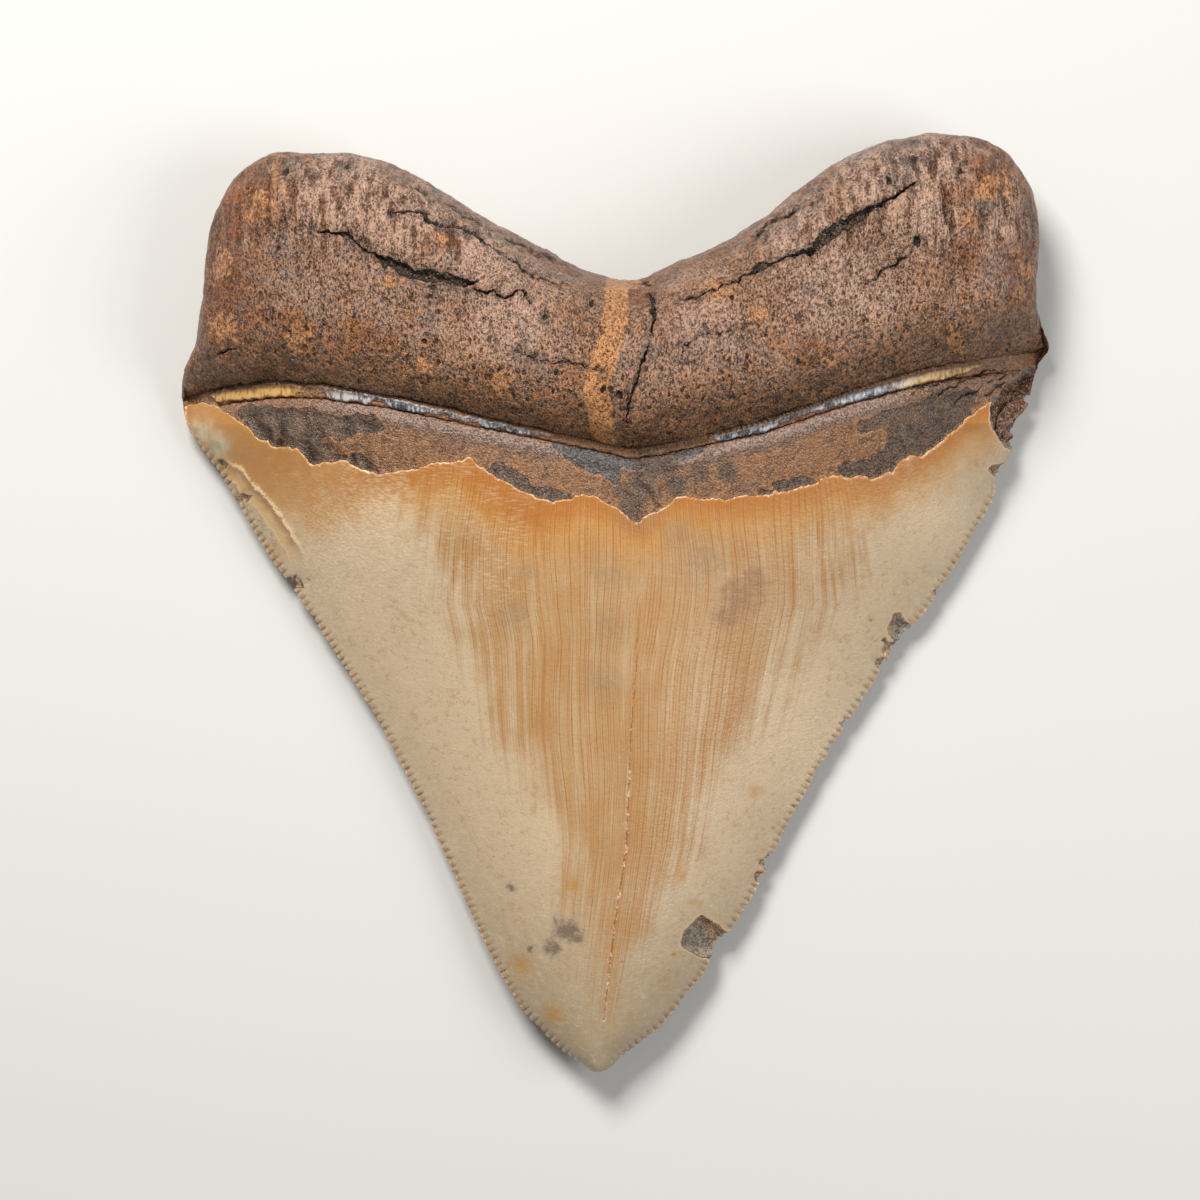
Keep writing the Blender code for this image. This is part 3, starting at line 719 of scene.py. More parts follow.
def cut_outline(loop):
    """The outline with its serrations, its wear and the crumbling of its broken shoulder."""
    weight = serrated(loop)
    size = SERRATION_LEAST + lumps(loop, *SERRATION_SIZES)
    bite = SERRATION_DEPTH * notch_depths(loop) * size + BITE_REACH * bites(loop)
    wear = EDGE_WEAR * np.clip(lumps(loop, *EDGE_CRUMBS), 0.0, 1.0)
    x, y = loop[:, 0], loop[:, 1]
    broken = (x > 0) * smooth_step(*SHOULDER_FROM_Y, y) * smooth_step(*SHOULDER_TO_Y, y)
    crumbs = SHOULDER_CRUMBLE * np.clip(lumps(loop, *SHOULDER_CRUMBS), 0.0, 1.0)
    return loop + inward(loop) * (weight * (bite + wear) + broken * crumbs)[:, None]


def hex_points(low, high, finest):
    """Points of the finest hexagonal grid over a box, and for each of them the number of the
    coarsest of the nested grids that it belongs to."""
    rise = finest * math.sqrt(3) / 2
    columns = np.arange(math.floor(low[0] / finest), math.ceil(high[0] / finest))
    rows = np.arange(math.floor(low[1] / rise), math.ceil(high[1] / rise))
    column, row = (a.ravel() for a in np.meshgrid(columns, rows))
    skewed = column - row // 2
    points = np.column_stack([(column + (row % 2) / 2) * finest, row * rise])
    level = np.zeros(len(points), int)
    for number, factor in ((1, 2), (2, 4)):
        level[(skewed % factor == 0) & (row % factor == 0)] = number
    return points, level


def stations(line, step):
    """Points about step apart along an open line."""
    line = np.array(line)
    places = []
    for start, end in zip(line[:-1], line[1:]):
        count = max(2, int(np.linalg.norm(end - start) / step))
        places.append(start + (end - start) * np.linspace(0.0, 1.0, count)[:, None])
    return np.vstack(places)


def split_drop(x):
    """How far below the neck the thin crack under the sliver of enamel runs."""
    start, growth = SPLIT_FROM_NECK
    return start + growth * np.abs(x)


def front_level(points, depth):
    """The grid that the inner face needs at each point: 0 for the finest, 2 for the coarsest."""
    neck = above_neck(points[:, 0], points[:, 1])
    lines = [ENAMEL_EDGE, MIDLINE[1:], FLAKE_CREST] + [line for _, _, line in CRACKS]
    narrow = np.vstack([stations(line, 0.3) for line in lines] + [np.array(PITS)[:, :2]])
    _, gap = nearest_places(points, narrow)
    torn = [line for _, line in BREAKS] + [BROKEN_SHOULDER]
    _, torn_gap = nearest_places(points, np.vstack([stations(line, 0.5) for line in torn]))
    fine = (gap < FINE_BY_LINES) | (torn_gap < FINE_BY_BREAKS)
    fine |= (depth < FINE_BY_EDGE) & (neck < -1.0)
    fine |= np.abs(neck + split_drop(points[:, 0]) / 2.0) < FINE_BY_SPLIT
    return np.where(fine, 0, np.where(neck > MIDDLE_FROM, 1, 2))


def back_level(points, depth):
    """The grid that the outer face needs at each point."""
    over = points[:, 1] - at(BACK_EDGE, points[:, 0])
    fine = (depth < BACK_FINE_BY_EDGE) & (over < -3.0)
    fine |= np.abs(over) < BACK_FINE_BY_BORDER
    return np.where(fine, 0, np.where(over > -2.0, 1, 2))


def inner_points(loop, outline, rows_from, rings, radius, finest, level_at):
    """The points of one face inside its outline: rows that follow it, and a graded grid."""
    count, angle = rings
    on_root = above_neck(rows_from[:, 0], rows_from[:, 1]) > RINGS_FROM
    into = inward(rows_from)
    rows = []
    for number in range(1, count + 1):
        depth = radius * (1.0 - math.cos(number * angle))
        row = rows_from[on_root] + into[on_root] * depth
        # A row keeps clear of the cut outline, and leaves out what would cross another part of it.
        clear = depth_inside(row, outline)[0] > 0.5 * depth
        clear &= np.abs(depth_inside(row, loop)[0] - depth) < 0.04 * depth + 0.002
        rows.append(row[clear])
    last_ring = radius * (1.0 - math.cos((count + 0.7) * angle))
    edge_row = (loop + inward(loop) * EDGE_ROW)[::2]
    edge_row = edge_row[above_neck(edge_row[:, 0], edge_row[:, 1]) < RINGS_FROM]

    points, level = hex_points(loop.min(axis=0), loop.max(axis=0), finest)
    depth, _ = depth_inside(points, loop)
    on_root = above_neck(points[:, 0], points[:, 1]) > RINGS_FROM
    clear = depth > np.where(on_root, last_ring, EDGE_ROW + 0.12)
    points, level, depth = points[clear], level[clear], depth[clear]
    kept = level >= level_at(points, depth)
    points, level = points[kept], level[kept]
    shifts = np.random.default_rng(SEED).uniform(-1.0, 1.0, points.shape)
    points = points + shifts * (GRID_JITTER * finest * 2.0**level)[:, None]
    points = np.vstack([edge_row, points])
    rows.append(points[depth_inside(points, outline)[0] > 0.08])
    return np.vstack(rows)


def triangulate(outline, inner):
    """Triangles over a face, as numbers of points: the outline's first, then the others."""
    points = np.vstack([outline, inner])
    sides = [(i, (i + 1) % len(outline)) for i in range(len(outline))]
    plan, _, triangles, *_ = delaunay_2d_cdt([Vector(p) for p in points], sides, [], 1, 1e-7)
    if len(plan) != len(points):
        raise ValueError("two points of the plan coincide")
    return np.array(triangles)


def triangulate_both(outline, front, back):
    """The outline, and the triangles of both faces. The outline loses each corner that would
    stand alone in one triangle on both faces, which would be a fin without thickness."""
    while True:
        both = [triangulate(outline, inner) for inner in (front, back)]
        rims = [faces[(faces < len(outline)).all(axis=1)] for faces in both]
        front_rim, back_rim = ({tuple(sorted(corners)) for corners in rim.tolist()} for rim in rims)
        fins = sorted(corners[1] for corners in front_rim & back_rim)
        if not fins:
            return outline, *both
        outline = np.delete(outline, fins, axis=0)


def vertex_normals(places, triangles):
    a, b, c = (places[triangles[:, corner]] for corner in range(3))
    across = np.cross(b - a, c - a)
    normals = np.zeros_like(places)
    for corner in range(3):
        np.add.at(normals, triangles[:, corner], across)
    return normals / np.linalg.norm(normals, axis=1, keepdims=True)


# ------------------------------------------------------------------------------- surface


class Surface:
    """The vertices of the tooth, and what each one is part of."""

    def __init__(self, loop, crown, outline, front, back):
        self.plan = np.vstack([outline, front, back])
        self.x, self.y = self.plan[:, 0], self.plan[:, 1]
        number = np.arange(len(self.plan))
        self.is_rim = number < len(outline)
        self.is_back = number >= len(outline) + len(front)
        depth, nearest = depth_inside(self.plan, loop)
        self.depth = np.maximum(depth, 0.0)
        self.neck = above_neck(self.x, self.y)
        top = top_height(self.x, self.y, self.depth, crown)
        base = base_height(self.x, self.y, self.depth, crown)
        rim = np.where(self.neck > -2.0, rim_height(self.x, self.y), (top + base) / 2.0)
        height = np.where(self.is_rim, rim, np.where(self.is_back, base, top))
        self.places = np.column_stack([self.plan, height])
        self.notch = (notch_depths(loop) * serrated(loop))[nearest]
        self.fine_stray = stray(self.plan, *FINE_STRAY)
        self.wide_stray = stray(self.plan, *WIDE_STRAY)
        self.enamel = self.enamel_reach()
        # How far up the root: above the neck on the inner face, and the enamel on the outer one.
        self.root = np.where(self.is_back, -self.enamel, self.neck)

    def enamel_reach(self):
        """How far each vertex is below the border of the enamel, negative above it."""
        crumbs = lumps(self.plan, *BORDER_CRUMBS)
        front = at(ENAMEL_EDGE, self.x) + EDGE_CRUMBLE * crumbs
        back = at(BACK_EDGE, self.x) + lumps(self.plan, BACK_BORDER_WAVE)
        back += 0.3 * EDGE_CRUMBLE * crumbs
        return np.where(self.is_back, back, front) - self.y

    def on_front(self, values, elsewhere):
        """The values on the inner face and its rim, and one other value on the outer face."""
        return np.where(self.is_back, elsewhere, values)

    def strayed(self, wide, fine):
        return self.plan + wide * self.wide_stray + fine * self.fine_stray


def inside_patches(s, patches, ragged):
    """How far each vertex is inside the nearest patch, negative outside."""
    points = s.strayed(ragged, ragged / 2.0)
    best = np.full(len(s.plan), -FAR)
    for corners in patches:
        loop = closed_curve(corners, 0.25)
        if clockwise(loop):
            loop = loop[::-1]
        low, high = loop.min(axis=0) - 2.0, loop.max(axis=0) + 2.0
        near = ((s.plan > low) & (s.plan < high)).all(axis=1)
        best[near] = np.maximum(best[near], depth_inside(points[near], loop)[0])
    return best


def crack_walls(s):
    """Distance of each vertex outside the nearest crack's wall, negative inside the crack, and
    how deep the cracks are there."""
    points = s.strayed(CRACK_STRAY, 0.5 * CRACK_STRAY)
    swell = 1.0 + lumps(s.plan, *CRACK_SWELL)
    outside = np.full(len(s.plan), FAR)
    cut = np.zeros(len(s.plan))
    for width, depth, line in CRACKS:
        gap, share = along_line(points, line)
        taper = np.sqrt(np.clip(4.0 * share * (1.0 - share), 0.02, 1.0))
        half = 0.5 * width * swell * taper
        outside = np.minimum(outside, gap - half)
        cut = np.maximum(cut, depth * smooth_step(half, 0.2 * half, gap))
    ragged = 1.0 + lumps(s.plan, PIT_SHAPE)
    for x, y, radius in PITS:
        gap = np.hypot(s.x - x, (s.y - y) * 0.8) * ragged
        outside = np.minimum(outside, gap - radius)
        cut = np.maximum(cut, 1.2 * radius * smooth_step(radius, 0.3 * radius, gap))
    return s.on_front(outside, FAR), s.on_front(cut, 0.0)


def root_folds(s):
    """The upright folds of the root, from about -1 to 1, and strongest on its lobes."""
    wave = lumps(s.places * FOLD_STRETCH, ROOT_FOLDS)
    return wave * (0.3 + 0.7 * smooth_step(*LOBE_FOLDS_Y, s.y))


def root_grain(s):
    """Height of the root's lumps and its fibres."""
    grain = lumps(s.places * GRAIN_STRETCH, *ROOT_GRAIN)
    amount = 0.75 + lumps(s.places, ROOT_GRAIN_AMOUNT)
    return lumps(s.places, *ROOT_LUMPS) + grain * amount


def spots(s, places):
    """How strongly each vertex of the inner face is stained by soft round spots, 0 to 1."""
    ragged = 1.0 + 0.5 * s.wide_stray[:, 0] + 0.25 * s.fine_stray[:, 0]
    stain = np.zeros(len(s.plan))
    for x, y, radius in places:
        gap = np.hypot(s.x - x, s.y - y) * ragged
        stain = np.maximum(stain, np.exp(-((gap / radius) ** 2)))
    return s.on_front(stain, 0.0)


def flake(s):
    """Distance of each vertex outside the crest of the flaked edge, negative inside it, the
    share of the flake's depth that is left there, and the rise of the surface."""
    points = s.strayed(0.15, 0.2)
    gap, share = along_line(points, FLAKE_CREST)
    is_outside = points[:, 0] < beside(FLAKE_CREST, points[:, 1])
    outside = s.on_front(np.where(is_outside, gap, -gap), -FAR)
    ends = smooth_step(0.0, 0.2, share) * smooth_step(1.0, 0.65, share)
    return outside, ends, at(FLAKE_PROFILE, outside) * ends


def sliver(s):
    """How far each vertex is inside the strip of enamel below the neck, and how far below the
    crack under it."""
    drop = split_drop(s.x) + 0.14 * s.wide_stray[:, 0] + 0.1 * s.fine_stray[:, 0]
    below = -s.neck
    low_side = at(SLIVER, s.x) * drop + 0.2 * s.wide_stray[:, 1] + 0.14 * s.fine_stray[:, 1]
    high_side = 0.1 + 0.16 * s.wide_stray[:, 0]
    inside = np.minimum(below - high_side, low_side - 0.1 - below)
    return s.on_front(inside, -FAR), s.on_front(below - drop, -FAR)


def band_folds(s, below_split):
    """The upright folds of the band, from -1 in their valleys to 1, and weaker to the right."""
    phase = (s.x + FLUTE_LEAN * s.y + lumps(s.plan, FLUTE_STRAY)) / FLUTE_PITCH
    strength = 0.25 + 0.75 * smooth_step(*FLUTED_LEFT_OF_X, s.x)
    strength += 0.5 * smooth_step(5.0, 1.0, np.abs(s.x - FLUTED_ABOUT_X))
    strength *= 0.8 + lumps(s.plan, FLUTE_STRENGTH)
    return np.sin(2.0 * math.pi * phase) * strength * smooth_step(1.0, 3.0, below_split)


def flow(s):
    """Coordinates of the enamel: across its lines, and along them."""
    across = s.x - s.on_front(beside(MIDLINE, s.y), 0.0)
    least, low, high = STREAKS_CLOSE_IN
    across /= least + (1.0 - least) * np.clip((s.y - low) / (high - low), 0.0, 1.0)
    rise = np.maximum(s.y - FAN_FROM_Y, 0.0)
    lean = FAN_LEAN * (across / FAN_REACH) ** 2 * rise
    return np.column_stack([across + np.sign(across) * lean, s.y, s.is_back * 50.0])


def breaks(s):
    """How far each vertex is inside the nearest break of the crown, and how deep it is there."""
    inside = np.full(len(s.plan), -FAR)
    cut = np.zeros(len(s.plan))
    for depth, corners in BREAKS:
        reach = inside_patches(s, [corners], 0.3)
        inside = np.maximum(inside, reach)
        cut = np.maximum(cut, depth * smooth_step(0.0, 0.9, reach))
    bitten = bites(s.plan)
    inside = np.maximum(inside, np.where(bitten > 0.0, bitten, -FAR))
    inside = np.where(s.is_back, np.minimum(inside, BREAK_WALL - s.depth), inside)
    cut = np.maximum(cut, BITE_DEPTH * smooth_step(0.0, 0.5, bitten))
    cut += lumps(s.places, *BREAK_LUMPS) * smooth_step(0.1, 0.7, inside)
    return inside, s.on_front(cut, 0.0)


def survey(s):
    """What the material needs to know at each vertex: distances in mm, and shares."""
    layers = {"enamel": s.enamel, "root": s.root, "rim": s.depth, "notch": s.notch}
    layers["walls"], s.crack_depth = crack_walls(s)
    layers["dark"] = s.on_front(inside_patches(s, DARK_PATCHES, 0.65), -FAR)
    layers["sliver"], layers["split"] = sliver(s)
    layers["blue"] = np.minimum(inside_patches(s, BLUE_PATCHES, 0.6), layers["split"])
    layers["fold"] = np.where(s.root > 0.0, root_folds(s), band_folds(s, layers["split"]))
    layers["yellow"] = at(SLIVER_YELLOW, s.x)
    layers["broken"], s.break_depth = breaks(s)
    layers["tan"] = np.maximum(inside_patches(s, TAN_WALLS, 0.3), 5.0 * bites(s.plan) - 0.15)
    layers["crest"], layers["flake"], s.flake_rise = flake(s)
    strip_gap, _ = along_line(s.strayed(0.4, 0.15), STRIP)
    layers["strip"] = STRIP_HALF_WIDTH - strip_gap - 0.6 * s.depth * s.is_back
    midline_gap, _ = along_line(s.strayed(0.12, 0.1), MIDLINE)
    layers["midline"] = s.on_front(midline_gap, FAR)
    layers["low"] = smooth_step(*MIDLINE_CRUMBS_Y, s.y)
    layers["lobe"] = smooth_step(*LOBE_FOLDS_Y, s.y)
    layers["shoulder"] = smooth_step(*SHOULDER_BREAK_Y, s.y)
    fleck_gap = nearest_places(s.plan, FLECKS)[1] * (1.0 + 0.4 * s.fine_stray[:, 0])
    layers["fleck"] = s.on_front(FLECK_RADIUS - fleck_gap, -FAR)
    for name, places in STAINS.items():
        layers[name] = spots(s, places)
    return layers


def relief_of(s, layers):
    """How far the surface rises above the smooth shape at each vertex."""
    on_root = smooth_step(-0.2, 0.25, s.root)
    bare = smooth_step(0.12, -0.12, s.enamel) * (1.0 - on_root)
    below_split = layers["split"]

    band = lumps(s.places, *BAND_LUMPS)
    band -= ENAMEL_STEP * (1.0 - smooth_step(-0.06, 0.06, layers["sliver"]))
    band += BAND_RIDGE_RISE * np.sin(math.pi * np.clip(below_split / BAND_RIDGE, 0.0, 1.0))
    band -= SPLIT_DEPTH * smooth_step(0.22, 0.0, np.abs(below_split))
    band -= PATCH_STEP * smooth_step(-0.1, 0.1, np.maximum(layers["dark"], layers["blue"]))
    band += FLUTE_DEPTH * layers["fold"]

    midline = smooth_step(0.2, 0.0, layers["midline"]) * smooth_step(-2.0, -14.0, s.y)
    grooves = GROOVE_DEPTH * s.notch * smooth_step(GROOVE_LENGTH, 0.3, s.depth)
    carved = bare * band + s.flake_rise - MIDLINE_DEPTH * midline - grooves
    carved -= s.break_depth + (1.0 - on_root) * bare * s.crack_depth
    carved -= NECK_GROOVE * smooth_step(0.3, 0.0, np.abs(s.neck - 0.1)) * ~s.is_back
    carved *= smooth_step(0.0, 0.35, s.depth)
    folds = ROOT_FOLD_DEPTH * layers["fold"] * smooth_step(0.0, 4.0, s.depth)
    return on_root * (root_grain(s) + folds - s.crack_depth) + carved


def make_tooth():
    loop = closed_curve(OUTLINE, EDGE_STEP)
    middle = (loop.min(axis=0) + loop.max(axis=0)) / 2.0
    loop -= middle
    crown = closed_curve(WHOLE_CROWN, EDGE_STEP) - middle

    cut = cut_outline(loop)
    on_crown = above_neck(loop[:, 0], loop[:, 1]) < RINGS_FROM
    taken = on_crown | (np.arange(len(loop)) % ROOT_EDGE_STRIDE == 0)
    outline = cut[taken]
    front = inner_points(
        loop, outline, loop[taken], FRONT_RINGS, ROOT_TOP_RADIUS, FRONT_GRID, front_level
    )
    back = inner_points(
        loop, outline, loop[taken], BACK_RINGS, ROOT_BASE_RADIUS, BACK_GRID, back_level
    )
    outline, front_faces, back_faces = triangulate_both(outline, front, back)
    back_faces = np.where(back_faces < len(outline), back_faces, back_faces + len(front))
    triangles = np.vstack([front_faces, back_faces[:, ::-1]])

    s = Surface(loop, crown, outline, front, back)
    layers = survey(s)
    layers["relief"] = relief_of(s, layers)
    places = s.places + vertex_normals(s.places, triangles) * layers["relief"][:, None]
    places[:, 2] = np.maximum(places[:, 2], 0.0)

    data = bpy.data.meshes.new("fossil_tooth")
    data.from_pydata(places * MM, [], triangles)
    data.shade_smooth()
    data.set_sharp_from_angle(angle=SHARP_ANGLE)
    for name, values in layers.items():
        layer = data.attributes.new(name, "FLOAT", "POINT")
        layer.data.foreach_set("value", values.astype(np.float32))
    layer = data.attributes.new("flow", "FLOAT_VECTOR", "POINT")
    layer.data.foreach_set("vector", flow(s).astype(np.float32).ravel())
    tooth = bpy.data.objects.new("fossil_tooth", data)
    bpy.context.scene.collection.objects.link(tooth)
    return tooth


# ----------------------------------------------------------------------------- materials


def srgb(red, green, blue):
    """A colour of a shader from the red, green and blue of a display, from 0 to 255."""
    def linear(value):
        share = value / 255.0
        return share / 12.92 if share < 0.04045 else ((share + 0.055) / 1.055) ** 2.4
    return (linear(red), linear(green), linear(blue), 1.0)


class Value:
    """A number that a shader works out at each point. Arithmetic on it adds math nodes."""

    def __init__(self, shades, socket):
        self.shades, self.socket = shades, socket

    def __add__(self, other):
        return self.shades.math("ADD", self, other)

    def __sub__(self, other):
        return self.shades.math("SUBTRACT", self, other)

    def __rsub__(self, other):
        return self.shades.math("SUBTRACT", other, self)

    def __mul__(self, other):
        return self.shades.math("MULTIPLY", self, other)

    def over(self, other):
        """The greater of two values."""
        return self.shades.math("MAXIMUM", self, other)

    def floor(self):
        return self.shades.math("FLOOR", self)

    def size(self):
        return self.shades.math("ABSOLUTE", self)

    def sway(self, amount):
        """What a noise adds or takes away: its distance from its middle, times an amount."""
        return (self - NOISE_MIDDLE) * amount

    def step(self, low, high):
        """0 at low and 1 at high, with a soft change between them."""
        node = self.shades.nodes.new("ShaderNodeMapRange")
        node.interpolation_type = "SMOOTHSTEP"
        self.shades.set(node.inputs["Value"], self)
        node.inputs["From Min"].default_value = low
        node.inputs["From Max"].default_value = high
        return Value(self.shades, node.outputs["Result"])

    def near(self, middle, reach):
        """1 at middle, and 0 from reach away."""
        return (self - middle).size().step(reach, 0.0)


class Shades:
    """Adds nodes to a material's shader, and holds the noises that its looks share."""

    def __init__(self, material):
        self.nodes = material.node_tree.nodes
        self.links = material.node_tree.links
        place = self.nodes.new("ShaderNodeTexCoord").outputs["Object"]
        self.place = self.stretched(place, (1.0 / MM, 1.0 / MM, 1.0 / MM))
        self.grain = self.noise(0.3, detail=2.0, roughness=0.7)
        self.crumb = self.noise(0.85, detail=3.0, roughness=0.65)
        self.patch = self.noise(2.8, detail=3.0, roughness=0.6)
        self.cloud = self.noise(9.0, detail=2.0)
        self.sand = self.crumb * 0.6 + self.grain * 0.4
        self.grit = self.grain + self.crumb.sway(0.3)

    def set(self, socket, value):
        value = value.socket if isinstance(value, Value) else value
        if isinstance(value, bpy.types.NodeSocket):
            self.links.new(value, socket)
        else:
            socket.default_value = value

    def math(self, operation, first, second=0.0):
        node = self.nodes.new("ShaderNodeMath")
        node.operation = operation
        self.set(node.inputs[0], first)
        self.set(node.inputs[1], second)
        return Value(self, node.outputs[0])

    def layer(self, name):
        """A number that the mesh carries at each vertex."""
        return Value(self, self.attribute(name).outputs["Fac"])

    def layers(self, *names):
        return [self.layer(name) for name in names]

    def attribute(self, name):
        node = self.nodes.new("ShaderNodeAttribute")
        node.attribute_name = name
        return node

    def stretched(self, vector, scale):
        node = self.nodes.new("ShaderNodeVectorMath")
        node.operation = "MULTIPLY"
        self.set(node.inputs[0], vector)
        node.inputs[1].default_value = scale
        return node.outputs[0]

    def vector(self, x, y, z=0.0):
        node = self.nodes.new("ShaderNodeCombineXYZ")
        for socket, value in zip(node.inputs, (x, y, z)):
            self.set(socket, value)
        return node.outputs[0]

    def parts(self, vector):
        """The x, y and z of a vector."""
        node = self.nodes.new("ShaderNodeSeparateXYZ")
        self.set(node.inputs[0], vector)
        return [Value(self, socket) for socket in node.outputs]

    def noise(self, size, vector=None, detail=2.0, roughness=0.5):
        """Smooth noise around NOISE_MIDDLE, with lumps about as wide as size, in mm."""
        node = self.nodes.new("ShaderNodeTexNoise")
        self.set(node.inputs["Vector"], vector or self.place)
        node.inputs["Scale"].default_value = 1.0 / size
        node.inputs["Detail"].default_value = detail
        node.inputs["Roughness"].default_value = roughness
        return Value(self, node.outputs["Fac"])

    def streaks(self, size, stretch, detail=2.0, roughness=0.5):
        """Noise that is drawn out where the stretch is below 1."""
        return self.noise(size, self.stretched(self.place, stretch), detail, roughness)

    def cells(self, size, vector=None):
        """Distance to the nearest of scattered points that are about size apart, as a share."""
        node = self.nodes.new("ShaderNodeTexVoronoi")
        self.set(node.inputs["Vector"], vector or self.place)
        node.inputs["Scale"].default_value = 1.0 / size
        return Value(self, node.outputs["Distance"])

    def random(self, value):
        """A number from 0 to 1 that is the same wherever the value is."""
        node = self.nodes.new("ShaderNodeTexWhiteNoise")
        node.noise_dimensions = "1D"
        self.set(node.inputs["W"], value)
        return Value(self, node.outputs["Value"])

    def mix(self, first, second, share):
        """The first colour, changed to the second where share is 1."""
        node = self.nodes.new("ShaderNodeMix")
        node.data_type = "RGBA"
        self.set(node.inputs[0], share)
        for socket, colour in ((node.inputs[6], first), (node.inputs[7], second)):
            self.set(socket, srgb(*colour) if isinstance(colour, tuple) else colour)
        return node.outputs[2]

    def blend(self, pair, share):
        """The first colour of a pair, changed to its second where share is 1."""
        return self.mix(*pair, share)

    def shade(self, colour, value):
        """The colour times a value, to lighten or darken it."""
        node = self.nodes.new("ShaderNodeVectorMath")
        node.operation = "SCALE"
        self.set(node.inputs[0], colour)
        self.set(node.inputs["Scale"], value)
        return node.outputs[0]


class Paint:
    """A colour that is built up in coats."""

    def __init__(self, shades, colour):
        self.shades, self.colour = shades, colour

    def coat(self, colour, share):
        """Changes the paint to another colour where share is 1."""
        self.colour = self.shades.mix(self.colour, colour, share)

    def shade(self, value):
        self.colour = self.shades.shade(self.colour, value)


def growth_lines(shades, across, up, pitch, width):
    """Thin lines about pitch apart that run up the crown: how strong their colour is, which
    comes and goes along each one, and their grooves, which do not."""
    count = across * (1.0 / pitch)
    line = count.floor()
    own = shades.random(line)
    gap = (count - line - 0.5 + own.sway(0.6)).size() * pitch
    strength = shades.noise(1.0, shades.vector(line * 3.7, up * 0.16), detail=3.0)
    groove = gap.step(width, 0.3 * width)
    return groove * (strength + own.sway(0.25)).step(0.38, 0.62), groove


def enamel_look(shades):
    """Colour and height of the enamel: beige, orange below its torn border, with fine orange
    lines up the crown."""
    crumb, patch, cloud = shades.crumb, shades.patch, shades.cloud
    flow = shades.attribute("flow").outputs["Vector"]
    across, up, _ = shades.parts(flow)
    streaked = shades.noise(1.1, shades.stretched(flow, (1.0, 0.05, 1.0)), detail=3.0)
    half_width, growth = CENTRE
    inside = up * growth + half_width - across.size()
    centre = (inside + cloud.sway(12.0) + streaked.sway(14.0)).step(-5.5, 5.5)
    centre = centre * up.step(*STREAKS_FADE_Y)

    paint = enamel_ground(shades, up, centre, streaked)
    enamel_border(shades, paint, across)
    moved = across + shades.noise(16.0, flow, detail=0.0).sway(3.0) + crumb.sway(0.06)
    bold, groove = growth_lines(shades, moved, up, *BOLD_LINES)
    faint, _ = growth_lines(shades, moved, up, *FAINT_LINES)
    upper = up.step(-14.0, 8.0)
    paint.coat(BOLD_LINE, bold * (centre * 0.52 + upper * 0.08))
    paint.coat(FAINT_LINE, faint * (centre * 0.66 + upper * 0.03))

    striae = shades.streaks(0.24, (0.12, 1.0, 1.0))
    # Painted sheen: paler, streaky places on the crown's sides where a soft box would glint.
    pale = shades.layer("pale")
    sheen = pale * (1.0 - centre) * (striae.step(0.4, 0.62) * 0.6 + 0.35)
    paint.coat(PAINTED_SHEEN, sheen * 0.75)
    scratched = striae.step(0.46, 0.7) * patch.step(0.34, 0.56) * across.step(-8.0, -18.0)
    paint.coat(SCRATCH, scratched * upper * across.step(-50.0, -42.0) * 0.28)
    paint.shade(shades.grain.sway(0.34) + 1.0)
    return paint, striae * 0.08 - groove * inside.step(-7.0, 5.0) * 0.09 + crumb * 0.2


def enamel_ground(shades, up, centre, streaked):
    """Paint of the enamel below its lines and stains: its sides and its streaked middle."""
    crumb, patch, cloud = shades.crumb, shades.patch, shades.cloud
    rim = shades.layer("rim")
    paint = Paint(shades, shades.mix(BEIGE, EDGE_BEIGE, rim.step(7.0, 0.5) * 0.5))
    paint.coat(TIP_BEIGE, up.step(-26.0, -56.0) * 0.85)
    paint.coat(MIDDLE_TAN, centre * (cloud.step(0.3, 0.7) * 0.3 + 0.65))
    paint.coat(MIDDLE_BROWN, centre * streaked.step(0.48, 0.68) * 0.45)
    paint.coat(MIDDLE_CREAM, centre * streaked.step(0.46, 0.34) * 0.3)
    side = 1.0 - centre
    mottled = crumb * 0.6 + patch * 0.4
    paint.coat(PALE_MOTTLE, side * mottled.step(0.52, 0.64) * 0.4)
    paint.coat(BROWN_MOTTLE, side * mottled.step(0.48, 0.36) * 0.45)
    paint.coat(ORANGE_MOTTLE, crumb.step(0.63, 0.7) * side * 0.5)
    return paint


def enamel_border(shades, paint, across):
    """Golden and orange coats that fade away from the enamel's torn border."""
    reach = shades.layer("enamel")
    corner = across.step(-36.0, -46.0)
    ragged = reach + shades.patch.sway(4.0) + shades.cloud.sway(5.0)
    ragged = ragged - corner * 4.5 - across.near(-16.0, 14.0) * 2.5
    paint.coat(GOLDEN_BORDER, ragged.step(9.5, 1.5) * 0.9)
    paint.coat(ORANGE_BORDER, ragged.step(4.5, -0.5) * (0.8 - corner * 0.45))


